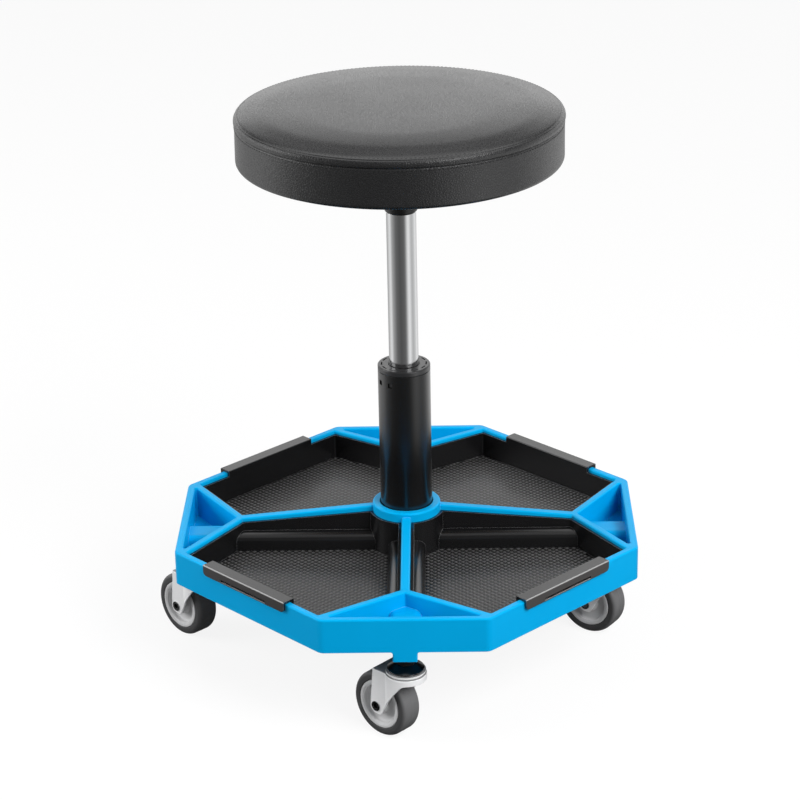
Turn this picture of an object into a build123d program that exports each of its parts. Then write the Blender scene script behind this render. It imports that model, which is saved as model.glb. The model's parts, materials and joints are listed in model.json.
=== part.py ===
from build123d import *
import math
import os

# Workshop stool on casters: an eight-sided moulded base that holds four lift-out tool trays,
# a gas lift and a round padded seat. Millimetres, +Z up, the front towards -Y.
# The origin is on the floor, under the axis of the gas lift.

os.makedirs("parts", exist_ok=True)

# Shared clearances
overrun = 2.0               # how far a cut runs past the surface that it opens
rest_gap = 0.3              # left where one piece rests on another
fit_gap = 0.05              # all round a pin, shaft or ball in its seat
slide_gap = 0.08            # all round the chrome cylinder in its guide
side_gap = 0.4              # between a piece that moves and the one beside it

# Base moulding, seen from above
base_reach = 219.0          # axis to the outer face of a short side
short_side = 152.4          # length of a short side, corner to corner
rim_width = 7.2             # top of the outer wall
corner_round = 9.0          # upright corners of the outer wall
opening_round = 1.5         # upright corners of the tray openings
pocket_round = 1.5          # upright corners of the pockets at the short sides
junction_inset = 57.8       # short side to the point where a rib and its two legs meet
leg_angle = 57.0            # degrees between a leg and its rib's line
leg_width = 7.2
rib_width = 8.8
hub_radius = 32.7

# Base moulding, heights
boss_drop = 9.8             # how far a boss hangs below the outer wall
rim_height = 33.2
rib_rise = 12.3             # how far a rib climbs from the rim to the hub
ring_rise = 16.2            # how far the hub stands above the rim
edge_round = 1.8            # top edges of the wall, legs and ribs
ledge_width = 4.0           # shelf that a tray stands on
ledge_thickness = 2.0
pocket_floor = 2.5

# Arms of the base moulding: channels under the ribs
arm_width = 30.0
arm_crown = 18.8            # top of an arm above the lower edge of the outer wall
arm_round = 6.0             # long edges of an arm
arm_wall = 2.6
arm_web = 2.2               # cross ribs inside an arm
arm_cells = 5
rib_core = 3.6              # width of the hollow inside a rib
groove_wall = 2.4           # skins each side of the hollow in the outer wall
groove_roof = 3.2

# Caster bosses and their threaded inserts
stem_inset = 17.0           # outer face of a short side to the stem's axis
boss_width = 22.4
boss_round = 1.5
boss_fillet = 2.0           # where a boss meets the lower edge of the outer wall
insert_radius = 7.5
insert_depth = 22.0
insert_flange = 1.0         # how far the insert's head is wider than its body
insert_head = 1.6

# Lift column
column_radius = 25.0
column_wall = 2.0
column_height = 196.9       # underside of a boss to the top of the steel tube
taper_drop = 1.1            # how much the tube's radius shrinks in the hub
hub_mouth = 1.0             # gap round the tube at the top of the hub
hub_mouth_depth = 13.0
tube_edge = 0.5             # groove between the tube and the guide's flange
end_plate = 3.0
guide_flange = 5.0
guide_length = 60.0
guide_wall = 3.2
guide_lip = 1.2             # round on the flange
slot_count = 12
slot_reach = 21.2           # axis to the slots in the flange
slot_width = 1.3
slot_depth = 2.4
slot_share = 0.66           # part of its twelfth that a slot takes up
window = 4.6                # square holes that the guide snaps into
window_drop = 9.8           # top of the tube to the middle of the windows
catch_rise = 0.6            # how far the guide's catches stand out into the windows
window_angles = (-32.0, -62.0, 148.0, 118.0)

# Gas lift
rod_radius = 5.0
rod_foot_radius = 4.0
rod_foot = 8.0              # how far the rod stands out below the end plate
stroke = 120.0
cylinder_radius = 14.0
cylinder_wall = 2.0
cylinder_end_gap = 10.4     # end plate to the cylinder at the bottom of its travel
gland_length = 16.0
piston_height = 8.0
chrome_length = 152.5       # guide to the shoulder under the taper
neck_step = 0.7             # how much the taper starts in from the chrome
neck_narrowing = 0.8
neck_length = 36.0
neck_bore = 4.6
button_rise = 4.0
button_round = 1.2
button_sink = 10.0
button_travel = 3.0
race_radius = 11.0
race_thickness = 1.0
lift_ball_radius = 1.5
lift_ball_count = 8
bump_height = 4.0
bump_radius = 12.0
clip_thickness = 1.2
clip_radius = 7.5

# Seat plate under the cushion
plate_width = 160.0
plate_round = 16.0
plate_thickness = 2.5
pan_radius = 46.0
pan_depth = 20.0
socket_radius = 15.2
socket_length = 29.1        # cylinder's shoulder to the underside of the pan
socket_end_round = 0.6
bolt_spacing = 120.0
bolt_radius = 4.0
bolt_length = 12.0
bolt_head = 5.3
bolt_head_width = 13.0
washer_radius = 8.0
washer_thickness = 1.6
tee_flange_radius = 11.0
tee_flange = 1.5
tee_barrel_radius = 5.4
ear_thickness = 2.0
ear_width = 9.0

# Release lever
lever_radius = 4.0
lever_pivot_reach = 30.0    # lift axis to the lever's pin
lever_bend_reach = 36.0
lever_overlap = 3.5         # how far the lever reaches past the button's middle
lever_reach = 150.0
lever_droop = 9.0           # degrees
pin_radius = 2.0
pin_head_radius = 3.0
pin_head = 1.0
grip_length = 34.0
grip_width = 24.0
grip_thickness = 11.0
grip_round = 4.0
grip_end_round = 2.0
lever_slot = 1.0            # room beside the lever where it leaves the pan

# Cushion
cushion_radius = 151.2      # side of the cover
welt_swell = 1.2            # rounded strip between the two seams, out from the side
lower_seam = 37.8           # above the cushion's lower edge
upper_seam = 45.0
seam_pinch = 0.9
panel_height = 47.6         # top panel where it turns down to the upper seam
cushion_crown = 51.8        # top of the cushion in the middle
upper_seam_inset = 1.6
panel_inset = 5.6
cover_round = 4.5
cover_thickness = 1.3
cover_wrap = 27.0           # how far the cover folds in under the board
board_thickness = 12.0
board_inset = 3.0
staple_count = 24
staple_width = 10.0
staple_wire = 0.8

# Trays
tray_gap = 0.5
tray_wall = 2.5
tray_floor = 2.3
tray_drop = 3.4             # tray edge below the rim beside it
tray_hub_drop = 5.0         # tray edge below the rib at the hub
lip_length = 112.0
lip_thickness = 2.5
lip_drop = 10.4
lip_round = 1.0
lip_corner = 4.0
lip_slot_length = 62.0
lip_slot_height = 2.4
lip_slot_depth = 1.6
lip_strip = 1.0             # strip left under the slot

# Casters
wheel_radius = 31.8
wheel_width = 22.5
tyre_shoulder = 3.5
rim_radius = 23.6
rim_ring = 4.2
rim_dish = 5.0              # how deep the wheel's face is dished on each side
rim_draft = 1.4             # slope of the dish's sides
wheel_hub_radius = 9.0
sleeve_radius = 6.0
axle_radius = 4.0
axle_bore = 2.9
axle_head_radius = 4.9
axle_head = 0.7
wheel_offset = 24.0         # stem axis to axle
fork_side_gap = 2.0
fork_thickness = 2.0
fork_top_gap = 4.4          # tyre to the underside of the fork's plate
fork_disc_radius = 19.2
fork_tail = 27.3            # stem axis to the back edge of the fork's plate
fork_foot = 7.4             # axle to the back and lower edges of the fork's foot
fork_foot_front = 5.5       # axle to the front corner of the foot
fork_foot_round = 7.0
fork_toe_round = 2.5
fork_skirt = 6.0            # depth of the pressed edge in front
fork_waist = 10.8           # stem axis to the bend in the front edge of a cheek
fork_waist_height = 38.0
fork_throat = 10.0          # stem axis forward to where the front edge meets the skirt
fork_throat_round = 8.0
fork_bend = 1.0             # round on the pressed edge of the plate
collar_radius = 18.4        # bright ring on the fork's plate under the cup
collar_bore = 14.5
collar_height = 2.8
collar_groove = 1.2         # dark groove under the ring
stem_radius = 5.0
king_radius = 4.5
hex_width = 17.0
hex_height = 8.6
cup_radius = 17.0
cup_height = 6.7
cup_thickness = 1.4
cup_skirt = 1.6
race_ball_radius = 2.0
race_ball_count = 8
race_ball_reach = 11.5
rivet_head = 2.0
rivet_radius = 7.0

# Which way each caster trails, in degrees from +X
caster_places = {
    "front": (-90.0, 138.0),
    "right": (0.0, 147.0),
    "back": (90.0, 40.0),
    "left": (180.0, 135.0),
}
tray_places = {
    "back_right": 0.0,
    "back_left": 90.0,
    "front_left": 180.0,
    "front_right": 270.0,
}

# Levels and lines worked out from the sizes above
fork_skin_z = 2 * wheel_radius + fork_top_gap
fork_top_z = fork_skin_z + fork_thickness
collar_top_z = fork_top_z + collar_height
cup_low_z = collar_top_z + side_gap
hex_low_z = cup_low_z + cup_height + fit_gap
caster_height = hex_low_z + hex_height + fit_gap
junction_reach = base_reach - junction_inset
rim_bottom_z = caster_height + boss_drop
rim_top_z = rim_bottom_z + rim_height
ring_top_z = rim_top_z + ring_rise
arm_crown_z = rim_bottom_z + arm_crown
long_reach = (base_reach + short_side / 2) / math.sqrt(2)
stem_reach = base_reach - stem_inset
leg_turn = math.radians(leg_angle)
rib_root = hub_radius - rim_width / 2
column_top_z = caster_height + column_height
guide_top_z = column_top_z + guide_flange
cylinder_top = guide_top_z + chrome_length
pan_skin_z = cylinder_top + socket_length
pan_floor_z = pan_skin_z + plate_thickness
plate_top_z = pan_floor_z + pan_depth
seat_bottom = plate_top_z - cover_thickness - rest_gap
tray_bottom_z = rim_bottom_z + ledge_thickness + rest_gap
tray_floor_z = tray_bottom_z + tray_floor


def save(name, shape):
    """Writes one piece to its own STEP file."""
    shape.label = name
    export_step(shape, f"parts/{name}.step")


def polygon(points):
    """Flat face in XY through the given corners."""
    return Face(Wire.make_polygon([Vector(x, y) for x, y in points], close=True))


def rounded(face, radius, beyond=0):
    """The face with its corners rounded, only those further than beyond from the origin."""
    corners = [v for v in face.vertices() if math.hypot(v.X, v.Y) > beyond]
    return face.fillet_2d(radius, corners)


def prism(face, low, high):
    """Solid between two levels over a face in XY."""
    return extrude(Pos(0, 0, low) * face, high - low, dir=(0, 0, 1))


def turned(points):
    """Solid of revolution about Z from corners given as (radius, height)."""
    face = Face(Wire.make_polygon([Vector(r, 0, z) for r, z in points], close=True))
    return revolve(face, Axis.Z)


def turned_outline(edges):
    """Solid of revolution about Z from lines and arcs drawn as (radius, height) in XY."""
    return revolve(Plane.XZ * Face(Wire(edges)), Axis.Z)


def tube(outer, inner, low, high):
    """Round tube on the Z axis."""
    return turned([(inner, low), (outer, low), (outer, high), (inner, high)])


def rod(radius, low, high):
    """Round bar on the Z axis."""
    return Pos(0, 0, low) * extrude(Circle(radius), high - low)


def around(shape, count):
    """Copies of a shape turned evenly about Z."""
    return [Rot(0, 0, 360 / count * k) * shape for k in range(count)]


# Base moulding

def rib_top(reach):
    """Height of a rib's top at a distance from the lift axis."""
    run = junction_reach - hub_radius
    return rim_top_z + rib_rise * max(0, junction_reach - reach) / run


def octagon(inset):
    """Outline of the base, moved inwards by inset."""
    a = base_reach - inset
    b = math.sqrt(2) * (long_reach - inset) - a
    return polygon([(b, -a), (a, -b), (a, b), (b, a), (-b, a), (-a, b), (-a, -b), (-b, -a)])


def leg_corner(inset):
    """Where a leg's tray side meets the arm's line, and its corner at the long side."""
    start = junction_reach - (leg_width / 2 + inset) / math.sin(leg_turn)
    span = math.sqrt(2) * (long_reach - rim_width - inset)
    y = (span - start) / (1 + 1 / math.tan(leg_turn))
    return start, span - y, y


def opening_outline(inset):
    """One tray opening, in the quarter where X and Y are positive, shrunk by inset."""
    side = rib_width / 2 + inset
    start, x, y = leg_corner(inset)
    knee = start + side / math.tan(leg_turn)
    face = polygon([(side, side), (knee, side), (x, y), (y, x), (side, knee)])
    face = rounded(face, opening_round, hub_radius + inset)
    return (face - Circle(hub_radius + inset)).face()


def star_outline():
    """All four tray openings and the cross of ribs between them."""
    start, x, y = leg_corner(0)
    corners = []
    for turn in range(4):
        c, s = round(math.cos(turn * math.pi / 2)), round(math.sin(turn * math.pi / 2))
        for u, v in ((start, 0), (x, y), (y, x)):
            corners.append((u * c - v * s, u * s + v * c))
    return rounded(polygon(corners), opening_round)


def pocket_outline():
    """Triangular pocket behind the short side at +X."""
    tip = junction_reach + leg_width / 2 / math.sin(leg_turn)
    back = base_reach - rim_width
    half = (back - tip) * math.tan(leg_turn)
    return rounded(polygon([(tip, 0), (back, -half), (back, half)]), pocket_round)


def arm_face(grow, low):
    """Section of an arm, wider and higher all round by grow, down to the level low."""
    w = arm_width / 2 + grow
    r = arm_round + grow
    knee = r * (1 - math.sqrt(0.5))
    crown = arm_crown_z + grow
    outline = [
        Line((-w, low), (-w, crown - r)),
        ThreePointArc((-w, crown - r), (-w + knee, crown - knee), (-w + r, crown)),
        Line((-w + r, crown), (w - r, crown)),
        ThreePointArc((w - r, crown), (w - knee, crown - knee), (w, crown - r)),
        Line((w, crown - r), (w, low)),
        Line((w, low), (-w, low)),
    ]
    return Plane.YZ * Face(Wire(outline))


def arm_bar(grow, low, start, end):
    """Length of arm along +X between two distances from the lift axis."""
    return Pos(start, 0, 0) * extrude(arm_face(grow, low), end - start, dir=(1, 0, 0))


def rib_wedge(drop, width, start, end, low):
    """Upright web along +X whose top lies below the rib's sloping top by drop."""
    side = [(start, low), (end, low), (end, rib_top(end) - drop), (start, rib_top(start) - drop)]
    face = Plane.XZ * polygon(side)
    return extrude(face, width / 2, both=True)


def boss_gusset():
    """Hollow fillet between a boss and the lower edge of the outer wall."""
    side, low, r = boss_width / 2, rim_bottom_z, boss_fillet
    knee = r * (1 - math.sqrt(0.5))
    outline = [
        Line((side - boss_round, low), (side + r, low)),
        ThreePointArc((side + r, low), (side + knee, low - knee), (side, low - r)),
        Line((side, low - r), (side - boss_round, low - r)),
        Line((side - boss_round, low - r), (side - boss_round, low)),
    ]
    start = base_reach - rim_width
    return Pos(start, 0, 0) * extrude(Plane.YZ * Face(Wire(outline)), rim_width, dir=(1, 0, 0))


def base_moulding():
    frame = prism(rounded(octagon(0), corner_round), rim_bottom_z, rim_top_z)
    frame -= prism(star_outline(), rim_bottom_z - overrun, rim_top_z + overrun)
    pocket = prism(pocket_outline(), rim_bottom_z + pocket_floor, rim_top_z + overrun)
    frame -= around(pocket, 4)
    frame = fillet(frame.faces().sort_by(Axis.Z)[-1].edges(), edge_round)

    rib = rib_wedge(0, rib_width, rib_root, junction_reach, arm_crown_z - arm_wall)
    rib = fillet(rib.edges().filter_by(Axis.Y, reverse=True).filter_by(Axis.Z, reverse=True)
                 .sort_by(Axis.Z)[-2:], edge_round)
    arm = arm_bar(0, rim_bottom_z, rib_root, base_reach - rim_width / 2)
    ledge = prism(opening_outline(0) - opening_outline(ledge_width), rim_bottom_z,
                  rim_bottom_z + ledge_thickness)
    boss_length = 2 * stem_inset
    boss_top = arm_crown_z - arm_wall
    boss = Pos(stem_reach, 0, caster_height) * extrude(
        RectangleRounded(boss_length, boss_width, boss_round), boss_top - caster_height)
    gusset = boss_gusset()
    hub = rod(hub_radius, caster_height, ring_top_z)
    hub = fillet(hub.edges().sort_by(Axis.Z)[-1], edge_round)

    # Hollows under the arms, between their cross ribs
    first = hub_radius + arm_wall
    last = stem_reach - boss_length / 2 - arm_wall
    pitch = (last - first + arm_web) / arm_cells
    hollow = []
    for k in range(arm_cells):
        start = first + k * pitch
        end = start + pitch - arm_web
        hollow.append(arm_bar(-arm_wall, caster_height, start, end))
        if end < junction_reach - leg_width:
            hollow.append(rib_wedge(arm_wall, rib_core, start, end, arm_crown_z - 2 * arm_wall))

    # Hollow inside the outer wall, open below and stopped at the bosses
    band_low, band_high = rim_bottom_z - overrun, rim_top_z - groove_roof
    outer = rounded(octagon(groove_wall), corner_round - groove_wall)
    inner = rounded(octagon(rim_width - groove_wall), corner_round - rim_width + groove_wall)
    groove = prism(outer, band_low, band_high) - prism(inner, band_low, band_high)
    stop = Pos(base_reach - rim_width / 2, 0, rim_bottom_z) * Box(
        2 * rim_width, arm_width, 2 * rim_height)
    groove -= around(stop, 4)

    body = Part() + frame + hub
    body += around(rib, 4) + around(arm, 4) + around(boss, 4) + around(ledge, 4)
    body += around(gusset, 4) + around(mirror(gusset, Plane.XZ), 4)
    for cut in hollow:
        body -= around(cut, 4)
    body -= groove

    # Tapered seat for the lift column
    body -= turned([
        (0, caster_height - overrun),
        (column_radius - taper_drop + fit_gap, caster_height - overrun),
        (column_radius - taper_drop + fit_gap, caster_height),
        (column_radius + fit_gap, ring_top_z - hub_mouth_depth),
        (column_radius + hub_mouth, ring_top_z - hub_mouth_depth),
        (column_radius + hub_mouth, ring_top_z + overrun),
        (0, ring_top_z + overrun),
    ])
    insert_hole = rod(insert_radius + fit_gap, caster_height - overrun,
                      caster_height + insert_depth + rest_gap)
    insert_hole += rod(insert_radius + insert_flange + fit_gap, caster_height - overrun,
                       caster_height + insert_head + fit_gap)
    body -= around(Pos(stem_reach, 0, 0) * insert_hole, 4)
    return body


def caster_inserts():
    insert = tube(insert_radius, stem_radius + fit_gap, caster_height, caster_height + insert_depth)
    insert += tube(insert_radius + insert_flange, stem_radius + fit_gap, caster_height,
                   caster_height + insert_head)
    return Compound(children=around(Pos(stem_reach, 0, 0) * insert, 4))


# Trays

def tray_top_cut():
    """What is cut off above the sloping edge of a tray, in the half where X is more than Y."""
    edge = rib_top(hub_radius) - tray_hub_drop
    low = rim_top_z - tray_drop
    high = ring_top_z + overrun
    side = [(0, edge), (hub_radius, edge), (junction_reach, low), (base_reach, low),
            (base_reach, high), (0, high)]
    slab = extrude(Plane.XZ * polygon(side), -base_reach)
    wedge = prism(polygon([(0, 0), (base_reach, 0), (base_reach, base_reach)]), low - overrun, high)
    return slab & wedge


def tray_lip():
    """Hook over the outer wall, drawn across +X."""
    inner = long_reach - rim_width - tray_gap - tray_wall
    wall = long_reach - rim_width - tray_gap
    under = rim_top_z + rest_gap
    top = under + lip_thickness
    flap_in = long_reach + tray_gap
    flap = flap_in + lip_thickness
    bottom = top - lip_drop
    section = polygon([
        (inner, tray_floor_z), (inner, top), (flap, top), (flap, bottom), (flap_in, bottom),
        (flap_in, under), (wall, under), (wall, tray_floor_z),
    ])
    outer_corners = [v for v in section.vertices() if v.Y > top - rest_gap]
    section = section.fillet_2d(lip_round, outer_corners)
    lip = extrude(Plane.XZ * section, lip_length / 2, both=True)
    ends = [e for e in lip.edges().filter_by(Axis.X)
            if e.center().X > long_reach and e.center().Z < under - rest_gap]
    lip = fillet(ends, lip_corner)
    slot = extrude(SlotOverall(lip_slot_length, lip_slot_height, rotation=90), lip_slot_depth,
                   both=True)
    return lip - Pos(flap, 0, bottom + lip_strip + lip_slot_height / 2) * Rot(0, 90, 0) * slot


def tray():
    """Lift-out tray in the quarter where X and Y are positive."""
    high = ring_top_z
    body = prism(opening_outline(tray_gap), tray_bottom_z, high)
    inner = prism(opening_outline(tray_gap + tray_wall), tray_floor_z, high + overrun)
    ridge = arm_bar(tray_gap + tray_wall, tray_bottom_z - overrun, 0, base_reach)
    arm = arm_bar(tray_gap, tray_bottom_z - overrun, 0, base_reach)
    across = Plane(origin=(0, 0, 0), z_dir=(1, -1, 0))
    inner -= [ridge, mirror(ridge, across)]
    body -= inner
    body -= [arm, mirror(arm, across)]
    top = tray_top_cut()
    body -= [top, mirror(top, across)]
    return body + Rot(0, 0, 45) * tray_lip()


# Lift column

def column_tube():
    r, w = column_radius, column_wall
    foot = r - taper_drop
    seat = ring_top_z - hub_mouth_depth
    body = turned([
        (rod_foot_radius + slide_gap, caster_height), (foot, caster_height), (r, seat),
        (r, column_top_z - tube_edge), (r - tube_edge, column_top_z), (r - w, column_top_z),
        (r - w, seat), (foot - w, caster_height + end_plate),
        (rod_foot_radius + slide_gap, caster_height + end_plate),
    ])
    for angle in window_angles:
        body -= window_block(angle, window)
    return body


def window_block(angle, width):
    """Square bar through the tube's wall, at an angle from the front."""
    depth = column_radius - column_wall / 2
    return (Rot(0, 0, angle) * Pos(0, -depth, column_top_z - window_drop)
            * Box(width, column_wall * 2, width))


def column_guide():
    bore = cylinder_radius + slide_gap
    skin = column_radius - column_wall - fit_gap
    low = column_top_z - guide_length
    body = turned([
        (bore, low), (bore + guide_wall, low), (skin, column_top_z - window_drop * 2),
        (skin, column_top_z), (column_radius - tube_edge, column_top_z),
        (column_radius, column_top_z + tube_edge), (column_radius, guide_top_z),
        (bore + guide_lip, guide_top_z), (bore, guide_top_z - guide_lip),
    ])
    rim = [e for e in body.edges().filter_by(GeomType.CIRCLE)
           if e.radius > column_radius - fit_gap and e.center().Z > guide_top_z - fit_gap]
    body = fillet(rim, guide_lip)
    step = 360 / slot_count
    slot = turned([
        (slot_reach - slot_width / 2, guide_top_z - slot_depth),
        (slot_reach + slot_width / 2, guide_top_z - slot_depth),
        (slot_reach + slot_width / 2, guide_top_z + overrun),
        (slot_reach - slot_width / 2, guide_top_z + overrun),
    ])
    half = math.radians(step * slot_share / 2)
    far = 2 * column_radius
    sector = prism(polygon([(0, 0), (far * math.cos(half), -far * math.sin(half)),
                            (far * math.cos(half), far * math.sin(half))]),
                   guide_top_z - slot_depth, guide_top_z + overrun)
    body -= around(slot & sector, slot_count)
    nub = window - 2 * rest_gap
    catch = skin + catch_rise
    for angle in window_angles:
        block = window_block(angle, nub)
        body += block & tube(catch, skin - rest_gap, column_top_z - 2 * window_drop, column_top_z)
    return body


# Gas lift

plate_z = caster_height + end_plate
race_low_z = plate_z + race_thickness
clip_z = caster_height - rest_gap - clip_thickness
race_high_z = race_low_z + 2 * lift_ball_radius + 2 * fit_gap
rod_shoulder_z = race_high_z + race_thickness
cylinder_low_z = plate_z + cylinder_end_gap + stroke
piston_low_z = cylinder_low_z + gland_length + rest_gap
neck_top_z = cylinder_top + neck_length
button_top_z = neck_top_z + button_rise
ball_reach = (race_radius + rod_radius) / 2


def thrust_race(low):
    return tube(race_radius, rod_foot_radius + fit_gap, low, low + race_thickness)


def thrust_balls():
    middle = race_low_z + fit_gap + lift_ball_radius
    ball = Pos(ball_reach, 0, middle) * Sphere(lift_ball_radius)
    return Compound(children=around(ball, lift_ball_count))


def bump_stop():
    low = rod_shoulder_z + fit_gap
    return tube(bump_radius, rod_radius + fit_gap, low, low + bump_height)


def piston_rod():
    body = rod(rod_foot_radius, caster_height - rod_foot, rod_shoulder_z)
    body += rod(rod_radius, rod_shoulder_z, piston_low_z)
    groove = tube(rod_foot_radius + overrun, rod_foot_radius - clip_thickness,
                  clip_z - fit_gap, clip_z + clip_thickness + fit_gap)
    body -= groove
    return body + rod(cylinder_radius - cylinder_wall - slide_gap, piston_low_z,
                      piston_low_z + piston_height)


def rod_clip():
    """Open spring ring in the rod's groove, under the column's end plate."""
    inner = rod_foot_radius - clip_thickness + fit_gap
    ring = tube(clip_radius, inner, clip_z, clip_z + clip_thickness)
    mouth = Pos(clip_radius, 0, clip_z) * Box(2 * clip_radius, rod_foot_radius, 4 * clip_thickness)
    return ring - mouth


def gas_cylinder():
    r, bore = cylinder_radius, cylinder_radius - cylinder_wall
    neck = r - neck_step
    edge = neck_step
    return turned([
        (bore, cylinder_low_z), (r - edge, cylinder_low_z), (r, cylinder_low_z + edge),
        (r, cylinder_top - edge), (r - edge, cylinder_top), (neck - neck_narrowing, neck_top_z),
        (neck_bore, neck_top_z), (neck_bore, neck_top_z - button_sink - button_travel),
        (bore, neck_top_z - button_sink - button_travel - cylinder_wall * 2),
    ])


def cylinder_gland():
    return tube(cylinder_radius - cylinder_wall - fit_gap, rod_radius + slide_gap,
                cylinder_low_z, cylinder_low_z + gland_length)


def valve_button():
    body = rod(neck_bore - slide_gap, neck_top_z - button_sink, button_top_z)
    return fillet(body.edges().sort_by(Axis.Z)[-1], button_round)


# Seat plate and release lever

lever_z = button_top_z + rest_gap + lever_radius


def neck_radius(level):
    """Radius of the cylinder's taper at a level."""
    start = cylinder_radius - neck_step
    return start - neck_narrowing * (level - cylinder_top) / neck_length


def seat_plate():
    """Pressed plate with a round pan, a tapered socket and ears for the lever."""
    t = plate_thickness
    flange = Pos(0, 0, plate_top_z - t) * extrude(
        RectangleRounded(plate_width, plate_width, plate_round), t)
    holes = [Pos(x, y, plate_top_z) * Cylinder(bolt_radius + fit_gap, 4 * t)
             for x, y in bolt_places()]
    flange -= [rod(pan_radius, pan_skin_z, plate_top_z + overrun)] + holes
    pan = turned([
        (0, pan_skin_z), (pan_radius - t, pan_skin_z), (pan_radius + t, plate_top_z - t),
        (pan_radius + t, plate_top_z), (pan_radius, plate_top_z), (pan_radius - 2 * t, pan_floor_z),
        (0, pan_floor_z),
    ])
    socket_low = cylinder_top + rest_gap
    neck = rod(socket_radius, socket_low, pan_floor_z)
    neck = fillet(neck.edges().sort_by(Axis.Z)[0], socket_end_round)
    body = flange + pan + neck
    body -= turned([
        (0, socket_low - overrun), (neck_radius(socket_low - overrun) + fit_gap, socket_low - overrun),
        (neck_radius(neck_top_z) + fit_gap, neck_top_z), (0, neck_top_z),
    ])
    ear_x = lever_radius + side_gap + ear_thickness / 2
    ear_top = lever_z + ear_width / 2
    for side in (-1, 1):
        ear = Pos(side * ear_x, lever_pivot_reach, (pan_skin_z + ear_top) / 2) * Box(
            ear_thickness, ear_width, ear_top - pan_skin_z)
        hole = Pos(0, lever_pivot_reach, lever_z) * Rot(0, 90, 0) * Cylinder(
            pin_radius + fit_gap, 4 * ear_x)
        body += ear
        body -= hole
    # The way out for the lever, which also leaves room for its swing
    gate_high = plate_top_z - t
    gate_low = pan_floor_z + rest_gap
    gate = Pos(0, pan_radius, (gate_low + gate_high) / 2) * Box(
        2 * (lever_radius + lever_slot), 8 * t, gate_high - gate_low)
    return body - gate


def bolt_places():
    half = bolt_spacing / 2
    return [(x, y) for x in (-half, half) for y in (-half, half)]


def seat_bolts():
    low = plate_top_z - plate_thickness
    bolt = rod(bolt_radius, low - washer_thickness - fit_gap, low + bolt_length)
    bolt += rod(washer_radius, low - washer_thickness, low)
    head = extrude(RegularPolygon(bolt_head_width / 2, 6, major_radius=False), bolt_head)
    bolt += Pos(0, 0, low - washer_thickness - bolt_head) * head
    return Compound(children=[Pos(x, y, 0) * bolt for x, y in bolt_places()])


def tee_nut_levels():
    """Lowest and highest point of a tee nut, whose flange is let into the board's top."""
    high = plate_top_z + board_thickness - fit_gap
    return plate_top_z + fit_gap, high


def seat_tee_nuts():
    low, high = tee_nut_levels()
    nut = tube(tee_barrel_radius, bolt_radius + fit_gap, low, high)
    nut += tube(tee_flange_radius, bolt_radius + fit_gap, high - tee_flange, high)
    return Compound(children=[Pos(x, y, 0) * nut for x, y in bolt_places()])


def seat_board():
    radius = cushion_radius - cover_thickness - board_inset
    body = rod(radius, plate_top_z, plate_top_z + board_thickness)
    body = chamfer(body.edges().sort_by(Axis.Z)[-1], board_inset)
    low, high = tee_nut_levels()
    hole = rod(tee_barrel_radius + fit_gap, low - overrun, high + overrun)
    hole += rod(tee_flange_radius + fit_gap, high - tee_flange - fit_gap, high + overrun)
    return body - [Pos(x, y, 0) * hole for x, y in bolt_places()]


def lever_pin():
    half = lever_radius + side_gap + ear_thickness + rest_gap
    pin = rod(pin_radius, -half, half)
    pin += [rod(pin_head_radius, half, half + pin_head), rod(pin_head_radius, -half - pin_head, -half)]
    return Pos(0, lever_pivot_reach, lever_z) * Rot(0, 90, 0) * pin


def lever_end(reach):
    """Point on the lever's sloping part at a distance from the lift axis."""
    fall = math.tan(math.radians(lever_droop)) * (reach - lever_bend_reach)
    return (0, reach, lever_z - fall)


def release_lever():
    path = Polyline((0, -lever_overlap, lever_z), (0, lever_bend_reach, lever_z),
                    lever_end(lever_reach))
    section = Plane(origin=(0, -lever_overlap, lever_z), z_dir=(0, 1, 0)) * Circle(lever_radius)
    body = sweep(section, path=path, transition=Transition.RIGHT)
    hole = Pos(0, lever_pivot_reach, lever_z) * Rot(0, 90, 0) * Cylinder(
        pin_radius + fit_gap, 4 * lever_radius)
    return body - hole


def lever_grip():
    """Flat plastic handle pushed on the end of the lever."""
    start = lever_end(lever_reach - grip_length / 2)
    plane = Plane(origin=start, x_dir=(1, 0, 0),
                  z_dir=(0, math.cos(math.radians(lever_droop)), -math.sin(math.radians(lever_droop))))
    body = plane * extrude(RectangleRounded(grip_width, grip_thickness, grip_round), grip_length)
    body = fillet(body.faces().sort_by(Axis.Y)[-1].edges(), grip_end_round)
    depth = grip_length / 2 / math.cos(math.radians(lever_droop)) + rest_gap
    bore = plane * Pos(0, 0, -overrun) * extrude(Circle(lever_radius + fit_gap), depth + overrun)
    return body - bore


# Cushion

def cushion_outline(skin):
    """Lines and arcs from the lower edge round to the middle of the top, skin inside the cover."""
    r = cushion_radius - skin
    low = seat_bottom + skin
    seam_low = seat_bottom + lower_seam
    seam_high = seat_bottom + upper_seam - skin / 2
    welt = cushion_radius + welt_swell - skin
    shoulder = cushion_radius - upper_seam_inset - skin
    panel = cushion_radius - panel_inset - skin
    edge = seat_bottom + panel_height - skin
    crown = seat_bottom + cushion_crown - skin
    bend = cover_round - skin
    knee = bend * (1 - math.sqrt(0.5))
    dome = (panel ** 2 + (crown - edge) ** 2) / (2 * (crown - edge))
    half = math.asin(panel / dome) / 2
    return [
        ThreePointArc((r - bend, low), (r - knee, low + knee), (r, low + bend)),
        Line((r, low + bend), (r - seam_pinch, seam_low - seam_pinch)),
        ThreePointArc((r - seam_pinch, seam_low - seam_pinch), (welt, (seam_low + seam_high) / 2),
                      (shoulder, seam_high)),
        ThreePointArc((shoulder, seam_high), ((shoulder + panel) / 2, edge - seam_pinch / 2),
                      (panel, edge)),
        ThreePointArc((panel, edge), (dome * math.sin(half), crown - dome * (1 - math.cos(half))),
                      (0, crown)),
    ]


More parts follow.
